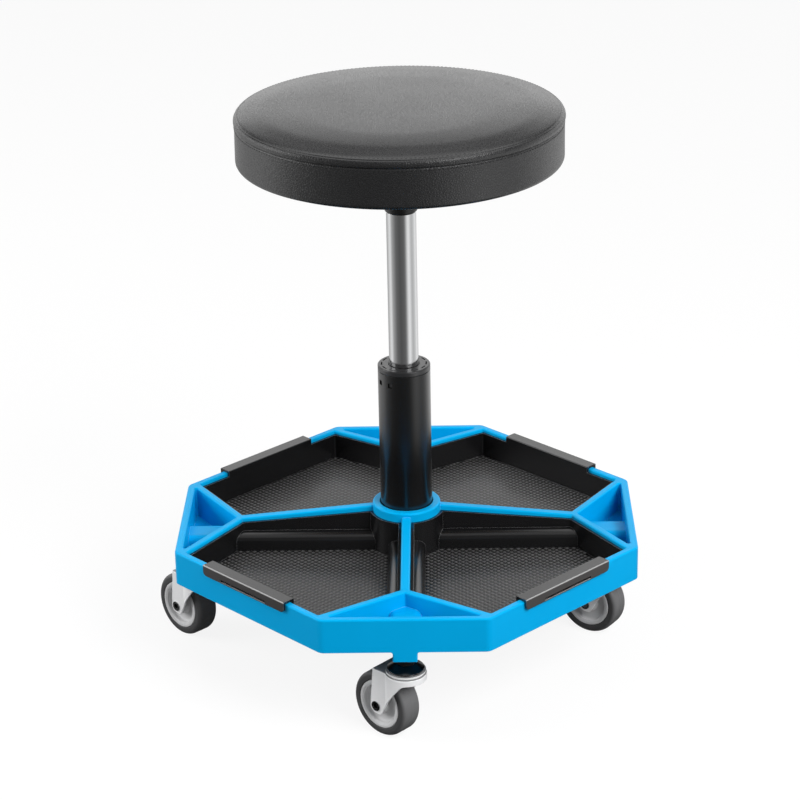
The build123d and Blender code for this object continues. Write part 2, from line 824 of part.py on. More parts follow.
def seat_cover():
    """Sewn cover: top panel, welt and side band, folded in under the board."""
    outer = cushion_outline(0)
    inner = cushion_outline(cover_thickness)
    low = seat_bottom
    fold = cushion_radius - cover_wrap
    body = turned_outline(outer + [
        Line((0, seat_bottom + cushion_crown), (0, low)),
        Line((0, low), (cushion_radius - cover_round, low)),
    ])
    top = seat_bottom + cushion_crown - cover_thickness
    start = cushion_radius - cover_round
    body -= turned_outline(inner + [
        Line((0, top), (0, low + cover_thickness)),
        Line((0, low + cover_thickness), (start, low + cover_thickness)),
    ])
    return body - rod(fold, low - overrun, low + cover_thickness + overrun)


def seat_foam():
    """Foam on the board, down over its edge."""
    skin = cover_thickness + rest_gap
    low = plate_top_z
    body = turned_outline(cushion_outline(skin) + [
        Line((0, seat_bottom + cushion_crown - skin), (0, seat_bottom + skin)),
        Line((0, seat_bottom + skin), (cushion_radius - cover_round, seat_bottom + skin)),
    ])
    board = cushion_radius - cover_thickness - board_inset
    body -= rod(board + rest_gap, low - overrun, low + board_thickness + rest_gap)
    return body - tube(2 * cushion_radius, board, seat_bottom - overrun, low + cover_round)


def cover_staples():
    """Staples that hold the folded edge of the cover to the board."""
    reach = cushion_radius - cover_wrap / 2
    low = seat_bottom - staple_wire
    crown = Pos(reach, 0, low + staple_wire / 2) * Box(staple_wire, staple_width, staple_wire)
    return Compound(children=around(crown, staple_count))


# Casters, drawn with the stem on Z and the wheel trailing along +X

fork_half = wheel_width / 2 + fork_side_gap
cup_drop = cup_height - cup_skirt


def caster_stem():
    """Threaded stem with its hexagon, and the king pin riveted over under the fork."""
    body = rod(stem_radius, hex_low_z, caster_height + insert_depth - rest_gap)
    body += Pos(0, 0, hex_low_z) * extrude(
        RegularPolygon(hex_width / 2, 6, major_radius=False), hex_height)
    king_low = fork_skin_z - side_gap - rivet_head
    body += rod(king_radius, king_low, hex_low_z)
    return body + rod(rivet_radius, king_low, king_low + rivet_head)


def race_cup():
    """Pressed cup under the hexagon that closes the ball race."""
    high = hex_low_z - fit_gap
    neck = hex_width / 2
    t = cup_thickness
    return turned([
        (king_radius + fit_gap, high - t), (neck, high - t), (cup_radius - t, high - t - cup_drop),
        (cup_radius - t, cup_low_z), (cup_radius, cup_low_z), (cup_radius, high - cup_drop),
        (neck + t / 2, high), (king_radius + fit_gap, high),
    ])


def race_balls():
    """Balls between the fork's plate and the cup."""
    level = fork_top_z + fit_gap + race_ball_radius
    balls = around(Pos(race_ball_reach, 0, level) * Sphere(race_ball_radius), race_ball_count)
    return Compound(children=balls)


def fork_outline(inset, tail):
    """The fork seen from above: a disc round the stem and a straight-sided tail."""
    half = fork_half + fork_thickness - inset
    return Circle(fork_disc_radius - inset) + Pos(tail / 2, 0) * Rectangle(tail, 2 * half)


def fork_side():
    """The fork seen from the side: skirt, hollow front edge, round foot and leaning back edge."""
    front = -fork_disc_radius - overrun
    skirt = fork_top_z - fork_skirt
    low = wheel_radius - fork_foot
    back = wheel_offset + fork_foot
    face = polygon([
        (front, fork_top_z), (front, skirt), (-fork_throat, skirt), (fork_waist, fork_waist_height),
        (wheel_offset - fork_foot_front, low), (back, low), (fork_tail, fork_top_z),
    ])
    corners = face.vertices()
    foot = corners.sort_by(Axis.Y)[:2].sort_by(Axis.X)
    throat = corners.sort_by_distance((-fork_throat, skirt, 0))[:1]
    face = face.fillet_2d(fork_foot_round, foot[1:])
    face = face.fillet_2d(fork_toe_round, face.vertices().sort_by_distance(foot[0])[:1])
    return face.fillet_2d(fork_throat_round, face.vertices().sort_by_distance(throat[0])[:1])


def fork():
    """Pressed steel fork: plate with a skirt, two swept cheeks, and the ring over the plate."""
    low = wheel_radius - 2 * fork_foot
    shell = prism(fork_outline(0, fork_tail + 2 * fork_foot), low, fork_top_z)
    hollow = prism(fork_outline(fork_thickness, fork_tail + 4 * fork_foot), low - overrun, fork_skin_z)
    side = extrude(Plane.XZ * fork_side(), 2 * fork_disc_radius, both=True)
    body = (shell - hollow) & side
    plate = body.faces().sort_by(Axis.Z)[-1]
    rim = plate.edges().sort_by(Axis.X)[:-1]
    body = fillet(rim, fork_bend)
    neck = fork_top_z + collar_groove
    body += tube(collar_radius - collar_groove, collar_bore, fork_top_z, neck)
    body += tube(collar_radius, collar_bore, neck, collar_top_z)
    body -= rod(king_radius + slide_gap, fork_skin_z - overrun, fork_top_z + overrun)
    return body - on_axle(rod(axle_radius + fit_gap, -2 * fork_half, 2 * fork_half))


def on_axle(shape):
    """Moves a shape turned about Z on to the wheel's axle."""
    return Pos(wheel_offset, 0, wheel_radius) * Rot(90, 0, 0) * shape


def axle():
    """Hollow rivet through both cheeks and the sleeve."""
    half = fork_half + fork_thickness
    body = tube(axle_radius, axle_bore, -half - axle_head, half + axle_head)
    for low in (-half - axle_head, half):
        body += tube(axle_head_radius, axle_bore, low, low + axle_head)
    return on_axle(body)


def axle_sleeve():
    half = fork_half - fit_gap
    return on_axle(tube(sleeve_radius, axle_radius + fit_gap, -half, half))


def wheel_rim():
    """Moulded wheel centre: hub, dished web and flat outer ring."""
    half = wheel_width / 2
    hub_half = fork_half - side_gap
    ring = rim_radius - rim_ring
    bore = sleeve_radius + slide_gap
    deep = half - rim_dish
    top = [(bore, hub_half), (wheel_hub_radius, hub_half), (wheel_hub_radius + rim_draft, deep),
           (ring - rim_draft, deep), (ring, half), (rim_radius - fit_gap, half)]
    return on_axle(turned(top + [(r, -z) for r, z in reversed(top)]))


def tyre():
    half = wheel_width / 2
    s = tyre_shoulder
    c = s * (1 - math.sqrt(0.5))
    r = wheel_radius
    outline = [
        Line((rim_radius, -half), (r - s, -half)),
        ThreePointArc((r - s, -half), (r - c, -half + c), (r, -half + s)),
        Line((r, -half + s), (r, half - s)),
        ThreePointArc((r, half - s), (r - c, half - c), (r - s, half)),
        Line((r - s, half), (rim_radius, half)),
        Line((rim_radius, half), (rim_radius, -half)),
    ]
    return on_axle(turned_outline(outline))


save("base_moulding", base_moulding())
save("caster_inserts", caster_inserts())
save("column_tube", column_tube())
save("column_guide", column_guide())
save("thrust_race_lower", thrust_race(plate_z + fit_gap / 2))
save("thrust_race_upper", thrust_race(race_high_z))
save("thrust_balls", thrust_balls())
save("bump_stop", bump_stop())
save("piston_rod", piston_rod())
save("rod_clip", rod_clip())
save("gas_cylinder", gas_cylinder())
save("cylinder_gland", cylinder_gland())
save("valve_button", valve_button())
save("seat_plate", seat_plate())
save("seat_bolts", seat_bolts())
save("seat_tee_nuts", seat_tee_nuts())
save("seat_board", seat_board())
save("lever_pin", lever_pin())
save("release_lever", release_lever())
save("lever_grip", lever_grip())
save("seat_cover", seat_cover())
save("seat_foam", seat_foam())
save("cover_staples", cover_staples())

one_tray = tray()
for name, turn in tray_places.items():
    save(f"tray_{name}", Rot(0, 0, turn) * one_tray)

caster_pieces = {
    "stem": caster_stem(),
    "race_cup": race_cup(),
    "race_balls": race_balls(),
    "fork": fork(),
    "axle": axle(),
    "axle_sleeve": axle_sleeve(),
    "wheel_rim": wheel_rim(),
    "tyre": tyre(),
}
for name, (bearing, trail_turn) in caster_places.items():
    spot = Rot(0, 0, bearing) * Pos(stem_reach, 0, 0) * Rot(0, 0, trail_turn - bearing)
    for piece, shape in caster_pieces.items():
        save(f"{piece}_{name}", spot * shape)
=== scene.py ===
"""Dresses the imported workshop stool: finishes, padded seat, knurled tray floors, wheels and studio.

Lengths are in metres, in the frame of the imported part. The floor is Z = 0, the gas lift stands on
the Z axis and the photographed front looks towards -Y.
"""

import json
import logging
import math
from collections.abc import Callable, Iterable
from dataclasses import dataclass, field
from enum import Enum

import bmesh
import bpy
from mathutils import Matrix, Vector

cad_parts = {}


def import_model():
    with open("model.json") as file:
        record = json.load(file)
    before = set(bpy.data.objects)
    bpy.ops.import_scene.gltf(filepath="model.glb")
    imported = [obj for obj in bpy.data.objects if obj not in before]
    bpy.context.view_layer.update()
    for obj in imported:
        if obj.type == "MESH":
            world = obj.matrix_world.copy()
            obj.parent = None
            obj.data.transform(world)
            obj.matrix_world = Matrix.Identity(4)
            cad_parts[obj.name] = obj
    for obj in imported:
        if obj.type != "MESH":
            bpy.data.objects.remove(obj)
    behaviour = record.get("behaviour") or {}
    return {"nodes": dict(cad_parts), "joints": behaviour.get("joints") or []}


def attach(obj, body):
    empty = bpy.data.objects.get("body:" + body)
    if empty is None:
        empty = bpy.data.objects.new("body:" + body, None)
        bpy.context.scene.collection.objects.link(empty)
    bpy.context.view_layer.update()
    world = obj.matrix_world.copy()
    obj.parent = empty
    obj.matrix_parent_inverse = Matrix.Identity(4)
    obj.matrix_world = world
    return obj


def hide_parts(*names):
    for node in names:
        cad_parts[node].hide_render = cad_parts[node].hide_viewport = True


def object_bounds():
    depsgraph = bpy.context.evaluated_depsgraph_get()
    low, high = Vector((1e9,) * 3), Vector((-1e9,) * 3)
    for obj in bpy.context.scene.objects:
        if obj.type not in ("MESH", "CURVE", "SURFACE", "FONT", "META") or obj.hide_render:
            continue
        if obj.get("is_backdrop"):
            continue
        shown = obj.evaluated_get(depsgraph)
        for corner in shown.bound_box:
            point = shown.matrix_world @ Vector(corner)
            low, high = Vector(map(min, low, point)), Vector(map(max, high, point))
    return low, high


LOG = logging.getLogger("workshop_stool")

MM = 0.001
FULL_TURN = 2 * math.pi
ON_AXIS = 1e-9
SAME_POINT = 1e-7
WHITE = (1, 1, 1, 1)

Point = tuple[float, float]
Colour = tuple[float, float, float]
Mesh = bpy.types.Mesh
Node = bpy.types.Node
Socket = bpy.types.NodeSocket
Sockets = bpy.types.bpy_prop_collection


class Corner(Enum):
    """The four casters, by the side of the base that they stand under."""

    FRONT = "front"
    RIGHT = "right"
    BACK = "back"
    LEFT = "left"


class Quarter(Enum):
    """The four trays, with the quarter turns that bring the first one to each place."""

    BACK_RIGHT = 0
    BACK_LEFT = 1
    FRONT_LEFT = 2
    FRONT_RIGHT = 3

    @property
    def label(self) -> str:
        """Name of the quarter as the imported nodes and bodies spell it."""
        return self.name.lower()

    @property
    def turn(self) -> Matrix:
        """Rotation about the lift that brings the first tray here."""
        return Matrix.Rotation(self.value * FULL_TURN / 4, 4, "Z")


def screen_colour(red: int, green: int, blue: int) -> Colour:
    """Scene-linear colour from the 0 to 255 values of a picture.

    Args:
        red: Red value.
        green: Green value.
        blue: Blue value.

    Returns:
        The linear colour that renders as those values under a plain light.
    """
    knee, slope, offset, power = 0.04045, 12.92, 0.055, 2.4
    shares = (value / 255 for value in (red, green, blue))
    return tuple(v / slope if v <= knee else ((v + offset) / (1 + offset)) ** power for v in shares)


def toned(colour: Colour, factor: float, lift: float = 0.0) -> Colour:
    """Colour made darker or paler, up to white.

    Args:
        colour: The colour.
        factor: What it is multiplied by.
        lift: What is added then.

    Returns:
        The new colour.
    """
    return tuple(min(1.0, value * factor + lift) for value in colour)


class Graph:
    """Adds nodes to one node tree and joins their sockets."""

    def __init__(self, tree: bpy.types.NodeTree) -> None:
        """Keeps the tree and empties it."""
        self.tree = tree
        tree.nodes.clear()

    def feed(self, node: Node, inputs: dict) -> None:
        """Sets inputs of a node, and links those that are given a socket.

        Args:
            node: The node.
            inputs: Values or sockets, by the input's name or index.
        """
        for key, value in inputs.items():
            if isinstance(value, Socket):
                self.tree.links.new(value, node.inputs[key])
            else:
                node.inputs[key].default_value = value

    def add(self, kind: str, inputs: dict | None = None, **settings) -> Node:
        """Adds one node.

        Args:
            kind: Blender's identifier of the node type.
            inputs: Values or sockets for the inputs, by name or index.
            **settings: Attributes of the node, such as operation or data_type.

        Returns:
            The new node.
        """
        node = self.tree.nodes.new(kind)
        for key, value in settings.items():
            setattr(node, key, value)
        self.feed(node, inputs or {})
        return node

    def use(self, group: bpy.types.NodeTree, **inputs) -> Sockets:
        """Places a shared group.

        Args:
            group: The group's tree.
            **inputs: Values or sockets, with underscores for the spaces of socket names.

        Returns:
            The group's outputs.
        """
        named = {key.replace("_", " "): value for key, value in inputs.items()}
        return self.add("ShaderNodeGroup", named, node_tree=group).outputs

    def math(self, operation: str, *values, clamp: bool = False) -> Socket:
        """Adds a Math node.

        Args:
            operation: Blender's name of the operation.
            *values: Numbers or sockets, in the order of the node's inputs.
            clamp: Whether the result is kept between 0 and 1.

        Returns:
            The result socket.
        """
        return self.add("ShaderNodeMath", dict(enumerate(values)), operation=operation,
                        use_clamp=clamp).outputs[0]

    def vector(self, operation: str, first: Socket, second: Socket | None = None,
               scale: Socket | None = None) -> Sockets:
        """Adds a Vector Math node.

        Args:
            operation: Blender's name of the operation.
            first: The first vector.
            second: The second one, where the operation takes two.
            scale: The factor, where it takes one.

        Returns:
            The node's outputs.
        """
        given = {0: first, 1: second, "Scale": scale}
        inputs = {key: value for key, value in given.items() if value is not None}
        return self.add("ShaderNodeVectorMath", inputs, operation=operation).outputs

    def split(self, vector: Socket) -> Sockets:
        """The three coordinates of a vector."""
        return self.add("ShaderNodeSeparateXYZ", {0: vector}).outputs

    def noise(self, place: Socket, scale: float | Socket, detail: float = 2.0,
              roughness: float = 0.5) -> Sockets:
        """Adds a Noise Texture.

        Args:
            place: Coordinates.
            scale: Features per metre.
            detail: Number of finer layers.
            roughness: Share of each finer layer.

        Returns:
            The texture's outputs, the grey one first.
        """
        return self.add("ShaderNodeTexNoise", {
            "Vector": place, "Scale": scale, "Detail": detail, "Roughness": roughness}).outputs

    def remap(self, value: Socket, span: Point, start: float = 0.0, end: float = 1.0,
              kind: str = "SMOOTHSTEP") -> Socket:
        """Maps a span of values on to another.

        Args:
            value: The socket to map.
            span: The values that give start and end.
            start: Result at the first value of the span.
            end: Result at the last one.
            kind: Blender's name of the way between them.

        Returns:
            The mapped value.
        """
        return self.add("ShaderNodeMapRange", {
            "Value": value, "From Min": span[0], "From Max": span[1], "To Min": start,
            "To Max": end}, interpolation_type=kind).outputs[0]

    def around(self, middle: float, share: Socket, width: float) -> Socket:
        """Value that a share moves about a middle one.

        Args:
            middle: The value at one half.
            share: Socket from 0 to 1.
            width: Difference between the values at 1 and at 0.

        Returns:
            The moved value.
        """
        return self.math("MULTIPLY_ADD", share, width, middle - width / 2)

    def ramp(self, value: Socket, *stops: Point) -> Socket:
        """Adds a grey colour ramp.

        Args:
            value: Socket that drives the ramp.
            *stops: Pairs of place and grey level.

        Returns:
            The ramp's colour output.
        """
        node = self.add("ShaderNodeValToRGB", {0: value})
        elements = node.color_ramp.elements
        elements[0].position, elements[1].position = stops[0][0], stops[-1][0]
        for place, _ in stops[1:-1]:
            elements.new(place)
        for element, (_, level) in zip(elements, stops):
            element.color = (level, level, level, 1)
        return node.outputs[0]

    def mix(self, share: float | Socket, first: Colour | Socket, second: Colour | Socket) -> Socket:
        """Mixes two colours.

        Args:
            share: 0 for the first colour and 1 for the second.
            first: Colour or socket.
            second: Colour or socket.

        Returns:
            The mixed colour.
        """
        first, second = (c if isinstance(c, Socket) else (*c, 1) for c in (first, second))
        return self.add("ShaderNodeMix", {0: share, 6: first, 7: second},
                        data_type="RGBA").outputs[2]


def node_group(name: str, inputs: dict[str, float | None], outputs: tuple[str, ...],
               fill: Callable[[Graph, Sockets], dict[str, Socket]]) -> bpy.types.NodeTree:
    """Shader node group, built on first use.

    Args:
        name: The group's name.
        inputs: Default values by socket name, None for a vector.
        outputs: Names of the outputs, of which only a Normal is a vector.
        fill: Takes the group's Graph and its given sockets, and returns a socket per output.

    Returns:
        The group's tree.
    """
    if name in bpy.data.node_groups:
        return bpy.data.node_groups[name]
    tree = bpy.data.node_groups.new(name, "ShaderNodeTree")
    for label, default in inputs.items():
        kind = "NodeSocketVector" if default is None else "NodeSocketFloat"
        socket = tree.interface.new_socket(label, in_out="INPUT", socket_type=kind)
        if default is not None:
            socket.default_value = default
    for label in outputs:
        kind = "NodeSocketVector" if label == "Normal" else "NodeSocketFloat"
        tree.interface.new_socket(label, in_out="OUTPUT", socket_type=kind)
    graph = Graph(tree)
    inside, outside = graph.add("NodeGroupInput"), graph.add("NodeGroupOutput")
    graph.feed(outside, fill(graph, inside.outputs))
    return tree


class Effects:
    """Shader node groups that several finishes share."""

    @staticmethod
    def mould_grain() -> bpy.types.NodeTree:
        """Fine texture of a moulded surface, with slow cloudy changes of tone."""
        def fill(graph: Graph, given: Sockets) -> dict[str, Socket]:
            fine = graph.noise(given["Vector"], given["Grain Scale"], roughness=0.6)
            cloud = graph.noise(given["Vector"], given["Cloud Scale"], detail=3.0)
            return {"Height": fine[0], "Cloud": cloud[0]}
        inputs = {"Vector": None, "Grain Scale": 1500.0, "Cloud Scale": 14.0}
        return node_group("mould_grain", inputs, ("Height", "Cloud"), fill)

    @staticmethod
    def pebble() -> bpy.types.NodeTree:
        """Pebbled grain of vinyl: raised cells with creases between them."""
        bend_scale, fine_scale, fine_share, crease_width = 260.0, 2400.0, 0.22, 0.28

        def fill(graph: Graph, given: Sockets) -> dict[str, Socket]:
            bend = graph.noise(given["Vector"], bend_scale)["Color"]
            push = graph.vector("SCALE", bend, scale=given["Warp"])
            place = graph.vector("ADD", given["Vector"], push[0])
            cells = graph.add("ShaderNodeTexVoronoi", {
                "Vector": place[0], "Scale": given["Cell Scale"]}, feature="DISTANCE_TO_EDGE")
            dome = graph.remap(cells.outputs["Distance"], (0.0, crease_width))
            fine = graph.noise(given["Vector"], fine_scale)[0]
            return {"Height": graph.math("MULTIPLY_ADD", fine, fine_share, dome),
                    "Crease": graph.math("SUBTRACT", 1.0, dome)}
        inputs = {"Vector": None, "Cell Scale": 620.0, "Warp": 0.6 * MM}
        return node_group("pebble", inputs, ("Height", "Crease"), fill)

    @staticmethod
    def drawn_lines() -> bpy.types.NodeTree:
        """Fine lines left by grinding or rolling, long in one direction."""
        streak_scale = 60.0

        def fill(graph: Graph, given: Sockets) -> dict[str, Socket]:
            scale = graph.add("ShaderNodeCombineXYZ", {
                axis: given[f"Stretch {axis}"] for axis in "XYZ"})
            place = graph.vector("MULTIPLY", given["Vector"], scale.outputs[0])[0]
            fine = graph.noise(place, given["Line Scale"], detail=3.0, roughness=0.65)
            return {"Height": fine[0], "Streak": graph.noise(place, streak_scale)[0]}
        inputs = {"Vector": None, "Line Scale": 900.0, **{f"Stretch {axis}": 1.0 for axis in "XYZ"}}
        return node_group("drawn_lines", inputs, ("Height", "Streak"), fill)

    @staticmethod
    def scuffs() -> bpy.types.NodeTree:
        """Mask of sparse rubbed patches, for places where hands and tools touch."""
        contrast = 6.0

        def fill(graph: Graph, given: Sockets) -> dict[str, Socket]:
            patch = graph.noise(given["Vector"], given["Patch Scale"], detail=6.0, roughness=0.7)
            start = graph.math("SUBTRACT", 1.0, given["Cover"])
            above = graph.math("SUBTRACT", patch[0], start)
            return {"Mask": graph.math("MULTIPLY", above, contrast, clamp=True)}
        inputs = {"Vector": None, "Patch Scale": 22.0, "Cover": 0.35}
        return node_group("scuffs", inputs, ("Mask",), fill)

    @staticmethod
    def soft_edges() -> bpy.types.NodeTree:
        """Normal that is rounded over sharp edges, and a mask of the strip beside them."""
        bent, sharply_bent = 0.95, 0.80

        def fill(graph: Graph, given: Sockets) -> dict[str, Socket]:
            rounded = graph.add("ShaderNodeBevel", {"Radius": given["Radius"]}, samples=4)
            plain = graph.add("ShaderNodeNewGeometry").outputs["Normal"]
            match = graph.vector("DOT_PRODUCT", rounded.outputs[0], plain)["Value"]
            return {"Normal": rounded.outputs[0],
                    "Edge": graph.remap(match, (bent, sharply_bent))}
        return node_group("soft_edges", {"Radius": 0.6 * MM}, ("Normal", "Edge"), fill)


def blank_material(name: str) -> tuple[bpy.types.Material, Graph]:
    """Starts an empty node material and returns it with its Graph."""
    material = bpy.data.materials.new(name)
    material.use_nodes = True
    return material, Graph(material.node_tree)


@dataclass(frozen=True)
class Finish:
    """Common part of every finish: its name and how a material is started."""

    name: str

    def material(self) -> bpy.types.Material:
        """Returns the finish as a material, made on first use.

        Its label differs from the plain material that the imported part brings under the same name.
        """
        label = f"dressed_{self.name}"
        if label in bpy.data.materials:
            return bpy.data.materials[label]
        material, graph = blank_material(label)
        shader = graph.add("ShaderNodeBsdfPrincipled")
        graph.add("ShaderNodeOutputMaterial", {0: shader.outputs[0]})
        self.paint(graph, shader, graph.add("ShaderNodeTexCoord").outputs["Object"])
        return material

    def paint(self, graph: Graph, shader: Node, place: Socket) -> None:
        """Sets up the shader. Each finish has its own version.

        Args:
            graph: The material's graph.
            shader: Its Principled BSDF.
            place: Object coordinates.
        """
        raise NotImplementedError

    @staticmethod
    def bump(graph: Graph, shader: Node, height: Socket, depth: float,
             strength: float = 1.0, normal: Socket | None = None) -> None:
        """Feeds a height into the shader's normal.

        Args:
            graph: The material's graph.
            shader: Its Principled BSDF.
            height: Height from 0 to 1.
            depth: Real depth of the relief.
            strength: Share of the relief that shows.
            normal: Normal that the relief starts from, or None for the surface's own.
        """
        inputs = {"Height": height, "Distance": depth, "Strength": strength}
        if normal is not None:
            inputs["Normal"] = normal
        graph.feed(shader, {"Normal": graph.add("ShaderNodeBump", inputs).outputs[0]})

    @staticmethod
    def facing_up(graph: Graph) -> Socket:
        """How far the surface looks up, from -1 to 1."""
        return graph.split(graph.add("ShaderNodeNewGeometry").outputs["Normal"])["Z"]


@dataclass(frozen=True)
class MouldedPlastic(Finish):
    """Injection-moulded plastic with a fine texture and faint cloudiness."""

    colour: Colour
    roughness: float = 0.4
    spread: float = 0.08
    grain_scale: float = 1500.0
    grain_depth: float = 0.03 * MM
    cloud: float = 0.06
    scuff_cover: float = 0.3
    scuff_tone: float = 1.25
    scuff_share: float = 0.35
    specular: float = 0.5
    specular_tint: Colour = (1.0, 1.0, 1.0)
    # painted highlight: how much paler the strip along sharp edges is painted
    edge_lift: float = 0.0
    edge_radius: float = 0.6 * MM

    def paint(self, graph: Graph, shader: Node, place: Socket) -> None:
        """Sets colour, cloudiness, scuffs, a painted highlight along the edges and grain."""
        edges = graph.use(Effects.soft_edges(), Radius=self.edge_radius)
        grain = graph.use(Effects.mould_grain(), Vector=place, Grain_Scale=self.grain_scale)
        scuffs = graph.use(Effects.scuffs(), Vector=place, Cover=self.scuff_cover)
        body = graph.mix(grain["Cloud"], toned(self.colour, 1 - self.cloud),
                         toned(self.colour, 1 + self.cloud))
        scuff_and_highlight = graph.math("MULTIPLY", scuffs["Mask"], self.scuff_share)
        body = graph.mix(scuff_and_highlight, body, toned(self.colour, self.scuff_tone))
        rough = graph.around(self.roughness, grain["Cloud"], self.spread)
        graph.feed(shader, {
            # painted highlight: the strip along sharp edges is painted paler, for the light that
            # rounded edges catch
            "Base Color": graph.mix(edges["Edge"], body, toned(self.colour, 1, self.edge_lift)),
            "Roughness": graph.math("MULTIPLY_ADD", scuffs["Mask"], self.spread, rough),
            "Specular IOR Level": self.specular, "Specular Tint": (*self.specular_tint, 1)})
        self.bump(graph, shader, grain["Height"], self.grain_depth, normal=edges["Normal"])


@dataclass(frozen=True)
class LipZone:
    """Block of space on every tray's hook lip, in millimetres.

    Its sides are the reach outwards, half the length along the lip and the heights.
    """

    near: float
    far: float
    half: float
    low: float
    high: float

    def mask(self, graph: Graph, spot: tuple[Socket, ...]) -> Socket:
        """Adds the nodes that tell whether a spot is inside.

        Args:
            graph: The material's graph.
            spot: Sockets with the reach, the distance along the lip and the height.

        Returns:
            A socket that is 1 inside the zone.
        """
        reach, along, height = spot
        mask = graph.math("LESS_THAN", along, self.half * MM)
        for value, start, end in ((reach, self.near, self.far), (height, self.low, self.high)):
            for test, limit in (("GREATER_THAN", start), ("LESS_THAN", end)):
                mask = graph.math("MULTIPLY", mask, graph.math(test, value, limit * MM))
        return mask


@dataclass(frozen=True)
class TrayPlastic(MouldedPlastic):
    """Black plastic of the trays, with painted light on the outside of each hook lip, painted
    highlights along the lip's top edge and under its slot, and painted shade in the slot.
    """

    # Zones: painted shade in the slot, painted highlights under the slot and along the lip's top
    # edge, painted light on the flap's face
    slot: LipZone = LipZone(209.6, 211.5, 31.1, 125.2, 127.5)
    slot_edge: LipZone = LipZone(211.0, 212.0, 31.1, 124.75, 125.1)
    lip_edge: LipZone = LipZone(210.9, 212.0, 57.0, 133.5, 134.5)
    flap: LipZone = LipZone(211.0, 212.0, 60.0, 123.0, 133.5)
    # Colours: painted light on the flap, painted shade in the slot, painted highlight on the edges
    flap_colour: Colour = (0.052, 0.049, 0.049)
    slot_colour: Colour = (0.002, 0.002, 0.002)
    edge_colour: Colour = (0.3, 0.3, 0.3)

    def paint(self, graph: Graph, shader: Node, place: Socket) -> None:
        """Paints the plastic, then painted light on the flap, painted highlights on its edges and
        painted shade in its slot.
        """
        super().paint(graph, shader, place)
        x, y, height = graph.split(place)
        across, ahead = (graph.math("ABSOLUTE", value) for value in (x, y))
        reach, along = (graph.math("MULTIPLY", graph.math(way, across, ahead), 1 / math.sqrt(2))
                        for way in ("ADD", "SUBTRACT"))
        spot = (reach, graph.math("ABSOLUTE", along), height)
        slot = self.slot.mask(graph, spot)
        # painted highlights along the strip under the slot and the lip's top edge
        scuff_and_highlight = graph.math("ADD", self.slot_edge.mask(graph, spot),
                            self.lip_edge.mask(graph, spot))
        colour = shader.inputs["Base Color"].links[0].from_socket
        # painted light: the flap's face is painted paler than the rest of the tray
        colour = graph.mix(self.flap.mask(graph, spot), colour, self.flap_colour)
        colour = graph.mix(scuff_and_highlight, colour, self.edge_colour)
        # painted shade: the slot is painted near black and made metallic, so that it shows no sheen
        graph.feed(shader, {"Base Color": graph.mix(slot, colour, self.slot_colour),
                            "Metallic": slot})


@dataclass(frozen=True)
class KnurledPlastic(MouldedPlastic):
    """Black plastic of the knurled floors, with a painted highlight on the tips and painted shade
    between them.
    """

    low: float = 103.0 * MM
    rise: float = 0.8 * MM
    # Heights, as shares of the rise, where the painted highlight of the tips starts and is full
    rubbed_from: float = 0.3
    rubbed_to: float = 0.9
    # painted highlight colour of the tips and painted shade colour of the valleys
    tip: Colour = (0.15, 0.15, 0.152)
    valley: Colour = (0.003, 0.003, 0.003)
    tip_roughness: float = 0.15
    valley_roughness: float = 0.45

    def paint(self, graph: Graph, shader: Node, place: Socket) -> None:
        """Paints the plastic, then its colour and roughness by height."""
        super().paint(graph, shader, place)
        # painted highlight on the tips and painted shade in the valleys, by height
        span = (self.low + self.rubbed_from * self.rise, self.low + self.rubbed_to * self.rise)
        share = graph.remap(graph.split(place)["Z"], span)
        graph.feed(shader, {
            "Base Color": graph.mix(share, self.valley, self.tip),
            "Roughness": graph.math("MULTIPLY_ADD", share,
                                    self.tip_roughness - self.valley_roughness,
                                    self.valley_roughness)})


@dataclass(frozen=True)
class PaintedSteel(Finish):
    """Gloss powder coat with a slight orange-peel surface."""

    colour: Colour
    roughness: float = 0.22
    spread: float = 0.08
    peel_scale: float = 420.0
    peel_depth: float = 0.02 * MM
    scuff_cover: float = 0.28
    scuff_share: float = 0.3
    scuff_tone: float = 1.8
    scuff_lift: float = 0.01
    coat: float = 0.3
    coat_roughness: float = 0.27
    specular: float = 0.5

    def paint(self, graph: Graph, shader: Node, place: Socket) -> None:
        """Sets colour, coat, orange peel, soft edges and slight rubs."""
        edges = graph.use(Effects.soft_edges())
        peel = graph.use(Effects.mould_grain(), Vector=place, Grain_Scale=self.peel_scale)
        scuffs = graph.use(Effects.scuffs(), Vector=place, Cover=self.scuff_cover)
        worn = toned(self.colour, self.scuff_tone, self.scuff_lift)
        scuff_and_highlight = graph.math("MULTIPLY", scuffs["Mask"], self.scuff_share)
        graph.feed(shader, {
            "Base Color": graph.mix(scuff_and_highlight, self.colour, worn),
            "Roughness": graph.around(self.roughness, peel["Cloud"], self.spread),
            "Coat Weight": self.coat, "Coat Roughness": self.coat_roughness,
            "Specular IOR Level": self.specular})
        self.bump(graph, shader, peel["Height"], self.peel_depth, normal=edges["Normal"])


